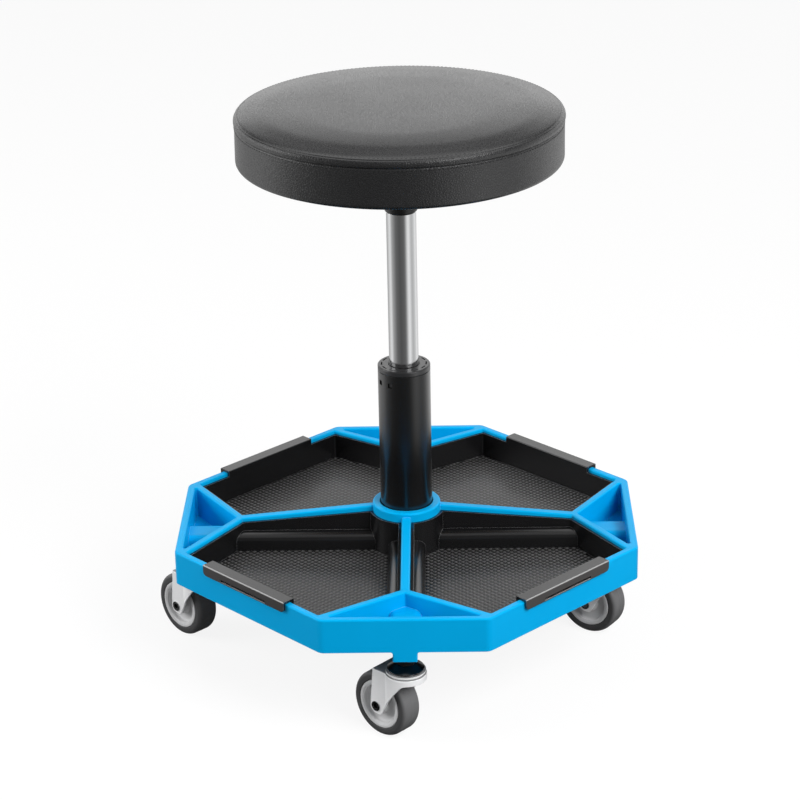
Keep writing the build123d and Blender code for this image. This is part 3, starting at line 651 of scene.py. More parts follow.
@dataclass(frozen=True)
class BareMetal(Finish):
    """Plated or ground metal with lines drawn in one direction.

    Pressed zinc is paler and duller than bare metal, so its metallic share is lower. Faces that look
    up get painted shade, for the shade that they lie in under the base. The tone setting is what is
    left of their tone, and the span setting how far they look up where that starts and is full.
    """

    colour: Colour
    roughness: float = 0.25
    spread: float = 0.12
    edge_radius: float = 0.3 * MM
    line_scale: float = 900.0
    line_depth: float = 0.004 * MM
    stretch: tuple[float, float, float] = (1.0, 1.0, 1.0)
    streak: float = 0.06
    metallic: float = 1.0
    upper_tone: float = 1.0
    upper_span: Point = (0.55, 0.75)

    def paint(self, graph: Graph, shader: Node, place: Socket) -> None:
        """Sets metal colour, streaks, painted shade on faces that look up, soft edges and drawn
        lines.
        """
        edges = graph.use(Effects.soft_edges(), Radius=self.edge_radius)
        stretch = {f"Stretch_{axis}": value for axis, value in zip("XYZ", self.stretch)}
        lines = graph.use(Effects.drawn_lines(), Vector=place, Line_Scale=self.line_scale,
                          **stretch)
        # painted shade: faces that look up are darkened, for the shade under the base
        upper = graph.remap(self.facing_up(graph), self.upper_span)
        colour = graph.mix(lines["Streak"], toned(self.colour, 1 - self.streak), self.colour)
        graph.feed(shader, {
            "Base Color": graph.mix(upper, colour, toned(self.colour, self.upper_tone)),
            "Roughness": graph.around(self.roughness, lines["Height"], self.spread),
            "Metallic": self.metallic})
        self.bump(graph, shader, lines["Height"], self.line_depth, normal=edges["Normal"])


@dataclass(frozen=True)
class Vinyl(Finish):
    """Pebbled upholstery vinyl with a low sheen."""

    colour: Colour
    roughness: float = 0.23
    spread: float = 0.12
    cloud_scale: float = 9.0
    cell_scale: float = 480.0
    pebble_depth: float = 0.1 * MM
    crease_tone: float = 0.7
    crease_roughness: float = 0.1
    top_share: float = 0.1
    top_span: Point = (0.5, 0.95)
    specular: float = 0.8

    def paint(self, graph: Graph, shader: Node, place: Socket) -> None:
        """Sets colour, wear of the sheen, and a grain that is pressed flatter where it faces up."""
        pebble = graph.use(Effects.pebble(), Vector=place, Cell_Scale=self.cell_scale)
        cloud = graph.use(Effects.mould_grain(), Vector=place, Cloud_Scale=self.cloud_scale)
        rough = graph.around(self.roughness, cloud["Cloud"], self.spread)
        graph.feed(shader, {
            "Base Color": graph.mix(pebble["Crease"], self.colour,
                                    toned(self.colour, self.crease_tone)),
            "Roughness": graph.math("MULTIPLY_ADD", pebble["Crease"], self.crease_roughness, rough),
            "Specular IOR Level": self.specular})
        pressed = graph.remap(self.facing_up(graph), self.top_span, 1.0, self.top_share, "LINEAR")
        height = graph.math("MULTIPLY", pebble["Height"], pressed)
        self.bump(graph, shader, height, self.pebble_depth)


@dataclass(frozen=True)
class TyreRubber(Finish):
    """Grey wheel rubber, lighter on the tread, which an attribute marks."""

    tread: Colour
    side: Colour
    roughness: float = 0.605
    spread: float = 0.15
    grain_scale: float = 1100.0
    grain_depth: float = 0.05 * MM
    patch_scale: float = 60.0
    dust_cover: float = 0.42
    dust_share: float = 0.25
    dust_tone: float = 1.5

    def paint(self, graph: Graph, shader: Node, place: Socket) -> None:
        """Sets the two tones, dust and a fine moulded texture."""
        grain = graph.use(Effects.mould_grain(), Vector=place, Grain_Scale=self.grain_scale)
        scuffs = graph.use(Effects.scuffs(), Vector=place, Patch_Scale=self.patch_scale,
                           Cover=self.dust_cover)
        mark = graph.add("ShaderNodeAttribute", attribute_name="tread").outputs["Fac"]
        tone = graph.mix(mark, self.side, self.tread)
        scuff_and_highlight = graph.math("MULTIPLY", scuffs["Mask"], self.dust_share)
        graph.feed(shader, {
            "Base Color": graph.mix(scuff_and_highlight, tone, toned(self.tread, self.dust_tone)),
            "Roughness": graph.around(self.roughness, grain["Cloud"], self.spread)})
        self.bump(graph, shader, grain["Height"], self.grain_depth)


@dataclass(frozen=True)
class OpenFoam(Finish):
    """Cut polyurethane foam with open cells."""

    colour: Colour
    roughness: float = 0.95
    cell_scale: float = 900.0
    cell_depth: float = 0.3 * MM
    cell_tone: float = 0.6

    def paint(self, graph: Graph, shader: Node, place: Socket) -> None:
        """Sets a soft colour with small dark cells."""
        crease = graph.use(Effects.pebble(), Vector=place, Cell_Scale=self.cell_scale)["Crease"]
        dark = toned(self.colour, self.cell_tone)
        graph.feed(shader, {"Base Color": graph.mix(crease, self.colour, dark),
                            "Roughness": self.roughness})
        self.bump(graph, shader, crease, self.cell_depth, strength=-1.0)


@dataclass(frozen=True)
class Plywood(Finish):
    """Birch plywood: long grain on the faces, plies on the edge."""

    colour: Colour
    roughness: float = 0.75
    ply: float = 1.5 * MM
    ply_share: float = 0.25
    grain_share: float = 0.6
    grain_scale: float = 300.0
    grain_stretch: float = 0.06
    grain_depth: float = 0.05 * MM
    grain_tone: float = 0.62

    def paint(self, graph: Graph, shader: Node, place: Socket) -> None:
        """Sets long grain and the darker plies."""
        grain = graph.use(Effects.drawn_lines(), Vector=place, Line_Scale=self.grain_scale,
                          Stretch_X=self.grain_stretch)["Height"]
        layer = graph.math("PINGPONG", graph.split(place)["Z"], self.ply)
        band = graph.math("GREATER_THAN", layer, self.ply / 2)
        amount = graph.math("MULTIPLY_ADD", grain, self.grain_share,
                            graph.math("MULTIPLY", band, self.ply_share))
        dark = toned(self.colour, self.grain_tone)
        graph.feed(shader, {"Base Color": graph.mix(amount, self.colour, dark),
                            "Roughness": self.roughness})
        self.bump(graph, shader, grain, self.grain_depth)


BASE_BLUE = MouldedPlastic("base_blue", screen_colour(0, 161, 220), roughness=0.4,
                           grain_scale=1300.0, grain_depth=0.02 * MM, scuff_tone=1.06,
                           specular=0.3, specular_tint=(0.15, 0.65, 1.0), edge_lift=0.2)
TRAY_BLACK = TrayPlastic("tray_black", screen_colour(14, 14, 15), roughness=0.25,
                         grain_depth=0.015 * MM, scuff_tone=1.4, specular=0.85,
                         edge_lift=0.22, edge_radius=0.4 * MM)
KNURL_BLACK = KnurledPlastic("knurl_black", screen_colour(24, 24, 25), roughness=0.25,
                             specular=0.85, edge_radius=0.15 * MM)
GUIDE_BLACK = MouldedPlastic("guide_black", screen_colour(34, 34, 35), roughness=0.28,
                             specular=0.9, edge_lift=0.05)
HANDLE_BLACK = MouldedPlastic("handle_black", screen_colour(30, 30, 31), roughness=0.45,
                              edge_lift=0.03)
COLUMN_BLACK = PaintedSteel("column_black", screen_colour(14, 14, 14), roughness=0.18, coat=1.0,
                            specular=0.2)
PLATE_BLACK = PaintedSteel("plate_black", screen_colour(26, 26, 27), roughness=0.36, coat=0.1)
STEM_BLACK = PaintedSteel("stem_black", screen_colour(30, 29, 28), roughness=0.3, coat=0.1)
LIFT_CHROME = BareMetal("lift_chrome", screen_colour(226, 227, 228), roughness=0.16,
                        stretch=(1.0, 1.0, 0.04), streak=0.04)
# Race cups and forks: painted shade on the faces that look up
RACE_CHROME = BareMetal("race_chrome", screen_colour(228, 229, 230), roughness=0.2,
                        stretch=(1.0, 1.0, 0.3), streak=0.03, upper_tone=0.1)
FORK_ZINC = BareMetal("fork_zinc", screen_colour(250, 250, 251), roughness=0.3,
                      stretch=(0.5, 0.5, 0.5), streak=0.06, metallic=0.15, upper_tone=0.25)
BRIGHT_STEEL = BareMetal("bright_steel", screen_colour(205, 206, 208), roughness=0.25)
WHEEL_GREY = MouldedPlastic("wheel_grey", screen_colour(196, 196, 197), roughness=0.38,
                            grain_depth=0.015 * MM, scuff_tone=1.05)
SLEEVE_NYLON = MouldedPlastic("sleeve_nylon", screen_colour(225, 224, 218), roughness=0.4)
BUMP_RUBBER = MouldedPlastic("bump_rubber", screen_colour(40, 40, 40), roughness=0.7)
TYRE_GREY = TyreRubber("tyre_grey", screen_colour(100, 100, 101), screen_colour(66, 66, 67))
SEAT_VINYL = Vinyl("seat_vinyl", screen_colour(33, 33, 34))
SEAM_THREAD = MouldedPlastic("seam_thread", screen_colour(26, 26, 27), roughness=0.6)
SEAT_FOAM = OpenFoam("seat_foam", screen_colour(222, 210, 160))
SEAT_PLY = Plywood("seat_ply", screen_colour(205, 170, 125))


class Frame:
    """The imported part: its nodes, joints and sizes."""

    def __init__(self) -> None:
        """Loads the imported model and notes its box."""
        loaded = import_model()
        self.nodes: dict[str, bpy.types.Object] = loaded["nodes"]
        self.joints = {joint["name"]: joint for joint in loaded["joints"]}
        self.box = self._corners()

    @staticmethod
    def _corners() -> list[list[float]]:
        """The whole object's lowest and highest corners as plain lists."""
        return [list(corner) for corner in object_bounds()]

    def dress(self, finish: Finish, *nodes: str) -> None:
        """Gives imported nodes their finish.

        Args:
            finish: The finish.
            *nodes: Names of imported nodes.
        """
        for name in nodes:
            mesh = self.nodes[name].data
            mesh.materials.clear()
            mesh.materials.append(finish.material())
            LOG.info("%s dressed as %s", name, finish.name)


def in_scene(name: str, data: bpy.types.ID) -> bpy.types.Object:
    """Makes an object from its data and links it into the scene."""
    made = bpy.data.objects.new(name, data)
    bpy.context.scene.collection.objects.link(made)
    return made


def sheet(name: str, corners: Iterable[tuple[float, float, float]]) -> Mesh:
    """Mesh of one flat face, from its corners in order."""
    flat = bmesh.new()
    flat.faces.new([flat.verts.new(corner) for corner in corners])
    mesh = bpy.data.meshes.new(name)
    flat.to_mesh(mesh)
    flat.free()
    return mesh


def square(name: str, place: Matrix, side: float) -> Mesh:
    """Square sheet about the origin, moved to its place."""
    corners = ((-1, -1), (1, -1), (1, 1), (-1, 1))
    return sheet(name, (place @ Vector((x * side / 2, y * side / 2, 0)) for x, y in corners))


def add_piece(name: str, mesh: Mesh, body: str, finish: Finish,
              stands_for: tuple[str, ...] = ()) -> bpy.types.Object:
    """Puts a finished mesh into the scene on its body.

    Args:
        name: The piece's name.
        mesh: Its mesh, already in place.
        body: The body that it rides on.
        finish: The finish of all of it.
        stands_for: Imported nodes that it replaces.

    Returns:
        The new object.
    """
    mesh.name = name
    mesh.materials.clear()
    mesh.materials.append(finish.material())
    piece = in_scene(name, mesh)
    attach(piece, body)
    if stands_for:
        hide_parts(*stands_for)
    LOG.info("%s: %d faces on %s", name, len(mesh.polygons), body)
    return piece


def turned_mesh(name: str, profile: list[Point], segments: int, closed: bool = False) -> Mesh:
    """Mesh of revolution about Z.

    Args:
        name: The mesh's name.
        profile: Points as radius and height, with the outside on the right when walked.
        segments: Steps round the axis.
        closed: Whether the last point joins the first.

    Returns:
        The mesh, with a single vertex wherever the profile touches the axis.
    """
    mesh = bmesh.new()
    rings = []
    for radius, height in profile:
        if radius < ON_AXIS:
            rings.append([mesh.verts.new((0, 0, height))])
            continue
        rings.append([
            mesh.verts.new((radius * math.cos(a), radius * math.sin(a), height))
            for a in (FULL_TURN * k / segments for k in range(segments))
        ])
    pairs = list(zip(rings, rings[1:]))
    if closed:
        pairs.append((rings[-1], rings[0]))
    for low, high in pairs:
        for k in range(segments):
            n = (k + 1) % segments
            corners = dict.fromkeys((low[k % len(low)], low[n % len(low)], high[n % len(high)],
                                     high[k % len(high)]))
            if len(corners) > 2:
                mesh.faces.new(list(corners))
    data = bpy.data.meshes.new(name)
    mesh.to_mesh(data)
    mesh.free()
    data.shade_smooth()
    return data


def arc(centre: Point, radius: float, start: float, end: float, steps: int) -> list[Point]:
    """Points along an arc.

    Args:
        centre: The arc's centre.
        radius: Its radius.
        start: First angle in degrees, from the first axis.
        end: Last angle in degrees.
        steps: Number of steps.

    Returns:
        steps + 1 points.
    """
    angles = (math.radians(start + (end - start) * k / steps) for k in range(steps + 1))
    return [(centre[0] + radius * math.cos(a), centre[1] + radius * math.sin(a)) for a in angles]


def arc_through(start: Point, middle: Point, end: Point, steps: int) -> list[Point]:
    """Points along the circle through three points.

    Args:
        start: First point.
        middle: A point on the way.
        end: Last point.
        steps: Number of steps.

    Returns:
        steps + 1 points from start to end.
    """
    (ax, ay), (bx, by), (cx, cy) = start, middle, end
    d = 2 * (ax * (by - cy) + bx * (cy - ay) + cx * (ay - by))
    a2, b2, c2 = ax * ax + ay * ay, bx * bx + by * by, cx * cx + cy * cy
    ux = (a2 * (by - cy) + b2 * (cy - ay) + c2 * (ay - by)) / d
    uy = (a2 * (cx - bx) + b2 * (ax - cx) + c2 * (bx - ax)) / d
    first = math.degrees(math.atan2(ay - uy, ax - ux))
    last = math.degrees(math.atan2(cy - uy, cx - ux))
    half = math.degrees(math.atan2(by - uy, bx - ux))
    span = (last - first) % 360
    if (half - first) % 360 > span:
        span -= 360
    return arc((ux, uy), math.hypot(ax - ux, ay - uy), first, first + span, steps)


def straight(start: Point, end: Point, steps: int) -> list[Point]:
    """Points along a straight line, both ends included."""
    return [(start[0] + (end[0] - start[0]) * k / steps, start[1] + (end[1] - start[1]) * k / steps)
            for k in range(steps + 1)]


def joined(*runs: list[Point]) -> list[Point]:
    """One profile from several runs, without doubled points where they meet."""
    points: list[Point] = []
    for run in runs:
        for point in run:
            if not points or math.dist(points[-1], point) > SAME_POINT:
                points.append(point)
    return points


class GeometryTree:
    """A Geometry Nodes tree with named inputs, applied once and turned into a plain mesh."""

    def __init__(self, name: str, inputs: dict[str, float | int]) -> None:
        """Starts the tree.

        Args:
            name: The tree's name.
            inputs: Its named inputs with their values.
        """
        self.tree = bpy.data.node_groups.new(name, "GeometryNodeTree")
        self.values = inputs
        for way in ("INPUT", "OUTPUT"):
            self.tree.interface.new_socket("Geometry", in_out=way, socket_type="NodeSocketGeometry")
        for label, value in inputs.items():
            kind = "NodeSocketInt" if isinstance(value, int) else "NodeSocketFloat"
            self.tree.interface.new_socket(label, in_out="INPUT", socket_type=kind)
        self.graph = Graph(self.tree)
        self.inside = self.graph.add("NodeGroupInput")
        self.outside = self.graph.add("NodeGroupOutput")

    def value(self, label: str) -> Socket:
        """Socket of a named input."""
        return self.inside.outputs[label]

    def finish(self, geometry: Socket, finish: Finish) -> None:
        """Ends the tree with Realize Instances and Set Material.

        Args:
            geometry: What the tree has made.
            finish: The finish of all of it.
        """
        real = self.graph.add("GeometryNodeRealizeInstances", {0: geometry})
        painted = self.graph.add("GeometryNodeSetMaterial", {
            "Geometry": real.outputs[0], "Material": finish.material()})
        self.graph.feed(self.outside, {0: painted.outputs[0]})

    def run(self, start: Mesh) -> Mesh:
        """Evaluates the tree on a mesh.

        Args:
            start: The mesh that the tree is given.

        Returns:
            A plain mesh with the result.
        """
        carrier = in_scene("carrier", start)
        modifier = carrier.modifiers.new("tree", "NODES")
        modifier.node_group = self.tree
        for item in self.tree.interface.items_tree:
            if item.in_out == "INPUT" and item.name in self.values:
                modifier[item.identifier] = self.values[item.name]
        bpy.context.view_layer.update()
        graph = bpy.context.evaluated_depsgraph_get()
        result = bpy.data.meshes.new_from_object(carrier.evaluated_get(graph))
        bpy.data.objects.remove(carrier)
        return result


@dataclass
class Cushion:
    """Padded seat: vinyl top panel, rounded strip between two seams, side band and foam.

    lower_row and upper_row place the stitches outwards and upwards from their seam. Each of the
    waves has its turns round the seat, its start and its height.
    """

    low: float = 493.0 * MM
    side_radius: float = 151.0 * MM
    fold_radius: float = 124.2 * MM
    corner: float = 4.5 * MM
    lower_seam: float = 530.8 * MM
    upper_seam: float = 538.0 * MM
    seam_radius: float = 150.6 * MM
    welt_radius: float = 151.6 * MM
    upper_radius: float = 150.2 * MM
    panel_radius: float = 145.4 * MM
    panel_height: float = 540.6 * MM
    crown: float = 544.7 * MM
    roll_power: int = 4
    groove: float = 0.55 * MM
    thickness: float = 1.3 * MM
    segments: int = 256
    stitch_length: float = 2.8 * MM
    stitch_gap: float = 1.2 * MM
    thread: float = 0.3 * MM
    lower_row: Point = (0.3 * MM, -2.0 * MM)
    upper_row: Point = (-2.6 * MM, 1.3 * MM)
    cloth_frames: int = 16
    cloth: dict[str, float] = field(default_factory=lambda: {
        "quality": 5, "mass": 0.25, "tension_stiffness": 60, "compression_stiffness": 60,
        "shear_stiffness": 30, "bending_stiffness": 12, "use_pressure": True,
        "uniform_pressure_force": 3.0})
    puff_cap: float = 0.6 * MM
    wrinkle_reach: int = 7
    pucker_depth: float = 0.12 * MM
    pucker_reach: float = 4.0 * MM
    unevenness: float = 0.25 * MM
    waves: tuple[tuple[int, float, float], ...] = ((3, 0.8, 0.5), (7, 2.1, 0.3))
    foam_play: float = 0.3 * MM
    foam_segments: int = 128
    board_radius: float = 146.9 * MM
    board_low: float = 499.4 * MM
    board_top: float = 506.9 * MM

    def skin_profile(self) -> list[Point]:
        """Outer skin of the cover, from the fold under the board to the middle of the top."""
        r, c, g = self.side_radius, self.corner, self.groove
        low_seam, high_seam = self.lower_seam, self.upper_seam
        seam, upper = self.seam_radius, self.upper_radius
        fold = straight((self.fold_radius, self.low), (r - c, self.low), 5)
        corner = arc((r - c, self.low + c), c, -90, 0, 6)
        band = straight((r, self.low + c), (seam + 0.2 * MM, low_seam - g), 14)
        lower = [(seam - 0.1 * MM, low_seam - g / 3), (seam - g, low_seam),
                 (seam, low_seam + g / 3)]
        welt = arc_through((seam + 0.35 * MM, low_seam + g),
                           (self.welt_radius, (low_seam + high_seam) / 2),
                           (upper + 0.2 * MM, high_seam - g), 12)
        higher = [(upper - 0.4 * MM, high_seam - g / 3), (upper - 1.5 * g, high_seam - g / 4),
                  (upper - 1.3 * g, high_seam + g / 2)]
        roll = arc_through((upper - 1.6 * g, high_seam + g),
                           ((upper + self.panel_radius) / 2 - g, self.panel_height - 0.7 * MM),
                           (self.panel_radius, self.panel_height), 8)
        top = self.roof(self.panel_radius, self.crown, 30)
        return joined(fold, corner, band, lower, welt, higher, roll, top)

    def roof(self, radius: float, crown: float, steps: int) -> list[Point]:
        """Section of the top, flat in the middle and rolling down at the edge.

        Args:
            radius: Where the section starts.
            crown: Height of the middle.
            steps: Number of steps from the edge to the middle.

        Returns:
            steps + 1 points, the last one on the axis.
        """
        rise = self.crown - self.panel_height
        shares = (1 - k / steps for k in range(steps + 1))
        return [(radius * s, crown - rise * s ** self.roll_power) for s in shares]

    def near_seam(self, height: float) -> float:
        """Distance of a height from the nearer seam."""
        return min(abs(height - self.lower_seam), abs(height - self.upper_seam))

    def cover(self) -> None:
        """Makes the sewn cover, blown out a little by cloth simulation between its seams."""
        mesh = turned_mesh("seat_cushion", self.skin_profile(), self.segments)
        piece = in_scene("seat_cushion", mesh)
        self._puff(piece)
        self._pucker(piece.data)
        wall = piece.modifiers.new("wall", "SOLIDIFY")
        wall.thickness = self.thickness
        wall.offset = -1
        graph = bpy.context.evaluated_depsgraph_get()
        solid = bpy.data.meshes.new_from_object(piece.evaluated_get(graph))
        bpy.data.objects.remove(piece)
        solid.shade_smooth()
        cushion = add_piece("seat_cushion_cover", solid, "seat", SEAT_VINYL,
                            ("seat_cover",))

    def _puff(self, piece: bpy.types.Object) -> None:
        """Runs a short cloth simulation with pressure, with the seams and the fold held.

        Args:
            piece: The cover's skin, which takes the result.
        """
        vertices = piece.data.vertices
        held = piece.vertex_groups.new(name="held")
        for vertex in vertices:
            radius = math.hypot(vertex.co.x, vertex.co.y)
            sewn = self.near_seam(vertex.co.z) < self.groove and radius > self.panel_radius
            if sewn or vertex.co.z < self.low + self.corner:
                held.add([vertex.index], 1.0, "REPLACE")
        cloth = piece.modifiers.new("puff", "CLOTH")
        for key, value in self.cloth.items():
            setattr(cloth.settings, key, value)
        cloth.settings.vertex_group_mass = held.name
        cloth.settings.effector_weights.gravity = 0
        cloth.collision_settings.use_self_collision = False
        cloth.point_cache.frame_start = 1
        cloth.point_cache.frame_end = self.cloth_frames
        scene = bpy.context.scene
        for frame in range(1, self.cloth_frames + 1):
            scene.frame_set(frame)
        blown = piece.evaluated_get(bpy.context.evaluated_depsgraph_get())
        moves = [new.co - old.co for old, new in zip(vertices, blown.to_mesh().vertices)]
        blown.to_mesh_clear()
        piece.modifiers.remove(cloth)
        piece.vertex_groups.remove(held)
        scene.frame_set(1)
        steps = [(move.dot(Vector((vertex.co.x, vertex.co.y, 0)).normalized()), move.z)
                 for vertex, move in zip(vertices, moves)]
        for start in range(0, len(steps) - 1, self.segments):
            ring = self._evened(steps[start:start + self.segments])
            for vertex, (out, up) in zip(vertices[start:start + self.segments], ring):
                radius = math.hypot(vertex.co.x, vertex.co.y)
                calm = min(1.0, radius / self.panel_radius) ** 2
                step = Vector((vertex.co.x / radius * out, vertex.co.y / radius * out, up)) * calm
                if step.length > self.puff_cap:
                    step *= self.puff_cap / step.length
                vertex.co += step

    def _evened(self, ring: list[Point]) -> list[Point]:
        """Spreads the steps of one ring, as foam under the vinyl does with narrow wrinkles.

        Args:
            ring: Steps outwards and upwards round the seat.

        Returns:
            The running mean of the steps.
        """
        count, reach = len(ring), self.wrinkle_reach
        for _ in range(2):
            ring = [tuple(sum(ring[(k + j) % count][axis] for j in range(-reach, reach + 1))
                          / (2 * reach + 1) for axis in (0, 1)) for k in range(count)]
        return ring

    def _pucker(self, mesh: Mesh) -> None:
        """Draws the vinyl in at each stitch beside the seams, and adds slow unevenness.

        Args:
            mesh: The cover's skin.
        """
        reach = self.pucker_reach
        count = round(FULL_TURN * self.seam_radius / (self.stitch_length + self.stitch_gap))
        for vertex in mesh.vertices:
            x, y, z = vertex.co
            radius = math.hypot(x, y)
            if radius < self.panel_radius - 4 * reach:
                continue
            angle = math.atan2(y, x)
            near = self.near_seam(z)
            drawn = 0.5 + 0.5 * math.cos(count / 4 * angle)
            pull = self.pucker_depth * math.exp(-(near / reach) ** 2) * drawn
            wave = self.unevenness * sum(height * math.sin(turns * angle + start)
                                         for turns, start, height in self.waves)
            share = (radius - pull + wave * math.exp(-(near / (4 * reach)) ** 2)) / radius
            vertex.co.x, vertex.co.y = x * share, y * share

    def stitches(self, name: str, radius: float, height: float) -> None:
        """Sews one seam with short lengths of thread.

        Args:
            name: Name of the row of stitches.
            radius: Radius of the row.
            height: Its height.
        """
        tree = GeometryTree(name, {
            "Seam Radius": radius, "Seam Height": height,
            "Stitches": round(FULL_TURN * radius / (self.stitch_length + self.stitch_gap)),
            "Stitch Length": self.stitch_length, "Thread Radius": self.thread})
        add, value = tree.graph.add, tree.value
        seam = add("GeometryNodeCurvePrimitiveCircle", {
            "Radius": value("Seam Radius"), "Resolution": self.segments})
        even = add("GeometryNodeResampleCurve", {
            "Curve": seam.outputs[0], "Count": value("Stitches")})
        stitch = add("GeometryNodeMeshUVSphere", {"Segments": 8, "Rings": 6, "Radius": 1.0})
        tangent = add("GeometryNodeInputTangent")
        aim = add("FunctionNodeAlignRotationToVector", {"Vector": tangent.outputs[0]}, axis="X")
        half = tree.graph.math("MULTIPLY", value("Stitch Length"), 0.5)
        size = add("ShaderNodeCombineXYZ", {
            "X": half, "Y": value("Thread Radius"), "Z": value("Thread Radius")})
        sewn = add("GeometryNodeInstanceOnPoints", {
            "Points": even.outputs[0], "Instance": stitch.outputs[0],
            "Rotation": aim.outputs[0], "Scale": size.outputs[0]})
        lift = add("ShaderNodeCombineXYZ", {"Z": value("Seam Height")})
        raised = add("GeometryNodeTransform", {
            "Geometry": sewn.outputs[0], "Translation": lift.outputs[0]})
        tree.finish(raised.outputs[0], SEAM_THREAD)
        mesh = tree.run(bpy.data.meshes.new(name))
        mesh.shade_smooth()
        add_piece(name, mesh, "seat", SEAM_THREAD)

    def foam(self) -> None:
        """Makes the foam block that lies under the cover."""
        gap = self.thickness + self.foam_play
        outer, inner = self.side_radius - gap, self.panel_radius - gap
        board, low = self.board_radius, self.board_low
        profile = joined([(0.0, self.board_top), (board, self.board_top), (board, low)],
                         straight((outer, low), (outer - 0.8 * MM, self.upper_seam - gap), 6),
                         [(inner + 2.0 * MM, self.panel_height - gap - 0.6 * MM)],
                         self.roof(inner, self.crown - gap, 14))
        mesh = turned_mesh("seat_foam_block", profile, self.foam_segments)
        piece = add_piece("seat_foam_block", mesh, "seat", SEAT_FOAM, ("seat_foam",))

    def build(self) -> None:
        """Makes the whole cushion."""
        self.cover()
        for name, radius, height, (out, up) in (
                ("lower_seam_stitches", self.seam_radius, self.lower_seam, self.lower_row),
                ("upper_seam_stitches", self.upper_radius, self.upper_seam, self.upper_row)):
            self.stitches(name, radius + out, height + up)
        self.foam()


@dataclass
class KnurledFloor:
    """Field of small pyramids on the floor of each tray.

    cover is the share of the pitch that a pyramid takes, and drop the height from which the
    field's points look down for the floor.
    """

    floor: float = 103.0 * MM
    ridge_side: float = 18.6 * MM
    hub_radius: float = 36.6 * MM
    leg_start: float = 152.4 * MM
    leg_angle: float = 57.0
    long_reach: float = 197.6 * MM
    pitch: float = 4.67 * MM
    rise: float = 0.8 * MM
    cover: float = 0.86
    drop: float = 10 * MM
    field_reach: float = 215.0 * MM

    def outline(self) -> list[Point]:
        """Edge of the knurled field in the first quarter."""
        slope = 1 / math.tan(math.radians(self.leg_angle))
        side = self.ridge_side
        knee = self.leg_start + side * slope
        low = (math.sqrt(2) * self.long_reach - self.leg_start) / (1 + slope)
        high = math.sqrt(2) * self.long_reach - low
        start = math.degrees(math.asin(side / self.hub_radius))
        hub = arc((0, 0), self.hub_radius, 90 - start, start, 10)
        return [(side, knee), *hub, (knee, side), (high, low), (low, high)]

    def field(self) -> Mesh:
        """Pyramids in rows at 45 degrees to the ribs, wherever the outline lies below them."""
        reach = self.field_reach
        tree = GeometryTree("knurled_field", {
            "Rows": int(reach * math.sqrt(2) / self.pitch), "Field": reach * math.sqrt(2),
            "Pyramid Radius": self.pitch / math.sqrt(2) * self.cover, "Pyramid Rise": self.rise,
            "Floor": self.floor})
        add, value = tree.graph.add, tree.value
        grid = add("GeometryNodeMeshGrid", {
            "Size X": value("Field"), "Size Y": value("Field"),
            "Vertices X": value("Rows"), "Vertices Y": value("Rows")})
        height = tree.graph.math("ADD", value("Floor"), self.drop)
        lift = add("ShaderNodeCombineXYZ", {"X": reach / 2, "Y": reach / 2, "Z": height})
        placed = add("GeometryNodeTransform", {
            "Geometry": grid.outputs["Mesh"], "Translation": lift.outputs[0],
            "Rotation": (0, 0, math.radians(45))})
        hit = add("GeometryNodeRaycast", {
            "Target Geometry": tree.inside.outputs[0], "Ray Direction": (0, 0, -1),
            "Ray Length": 1.0})
        missed = add("FunctionNodeBooleanMath", {0: hit.outputs["Is Hit"]}, operation="NOT")
        kept = add("GeometryNodeDeleteGeometry", {
            "Geometry": placed.outputs[0], "Selection": missed.outputs[0]}, domain="POINT")
        points = add("GeometryNodeMeshToPoints", {"Mesh": kept.outputs[0]})
        pyramid = add("GeometryNodeMeshCone", {
            "Vertices": 4, "Radius Top": 0.0, "Radius Bottom": value("Pyramid Radius"),
            "Depth": value("Pyramid Rise")}, fill_type="NONE")
        sunk = add("GeometryNodeTransform", {
            "Geometry": pyramid.outputs[0], "Translation": (0, 0, -self.drop)})
        rows = add("GeometryNodeInstanceOnPoints", {
            "Points": points.outputs[0], "Instance": sunk.outputs[0]})
        tree.finish(rows.outputs[0], KNURL_BLACK)
        return tree.run(sheet("knurl_bed", ((x, y, self.floor) for x, y in self.outline())))

    def build(self) -> None:
        """Lays a field in every tray."""
        first = self.field()
        for quarter in Quarter:
            mesh = first.copy()
            mesh.transform(quarter.turn)
            add_piece(f"knurled_floor_{quarter.label}", mesh, f"tray_{quarter.label}",
                      KNURL_BLACK)
        bpy.data.meshes.remove(first)


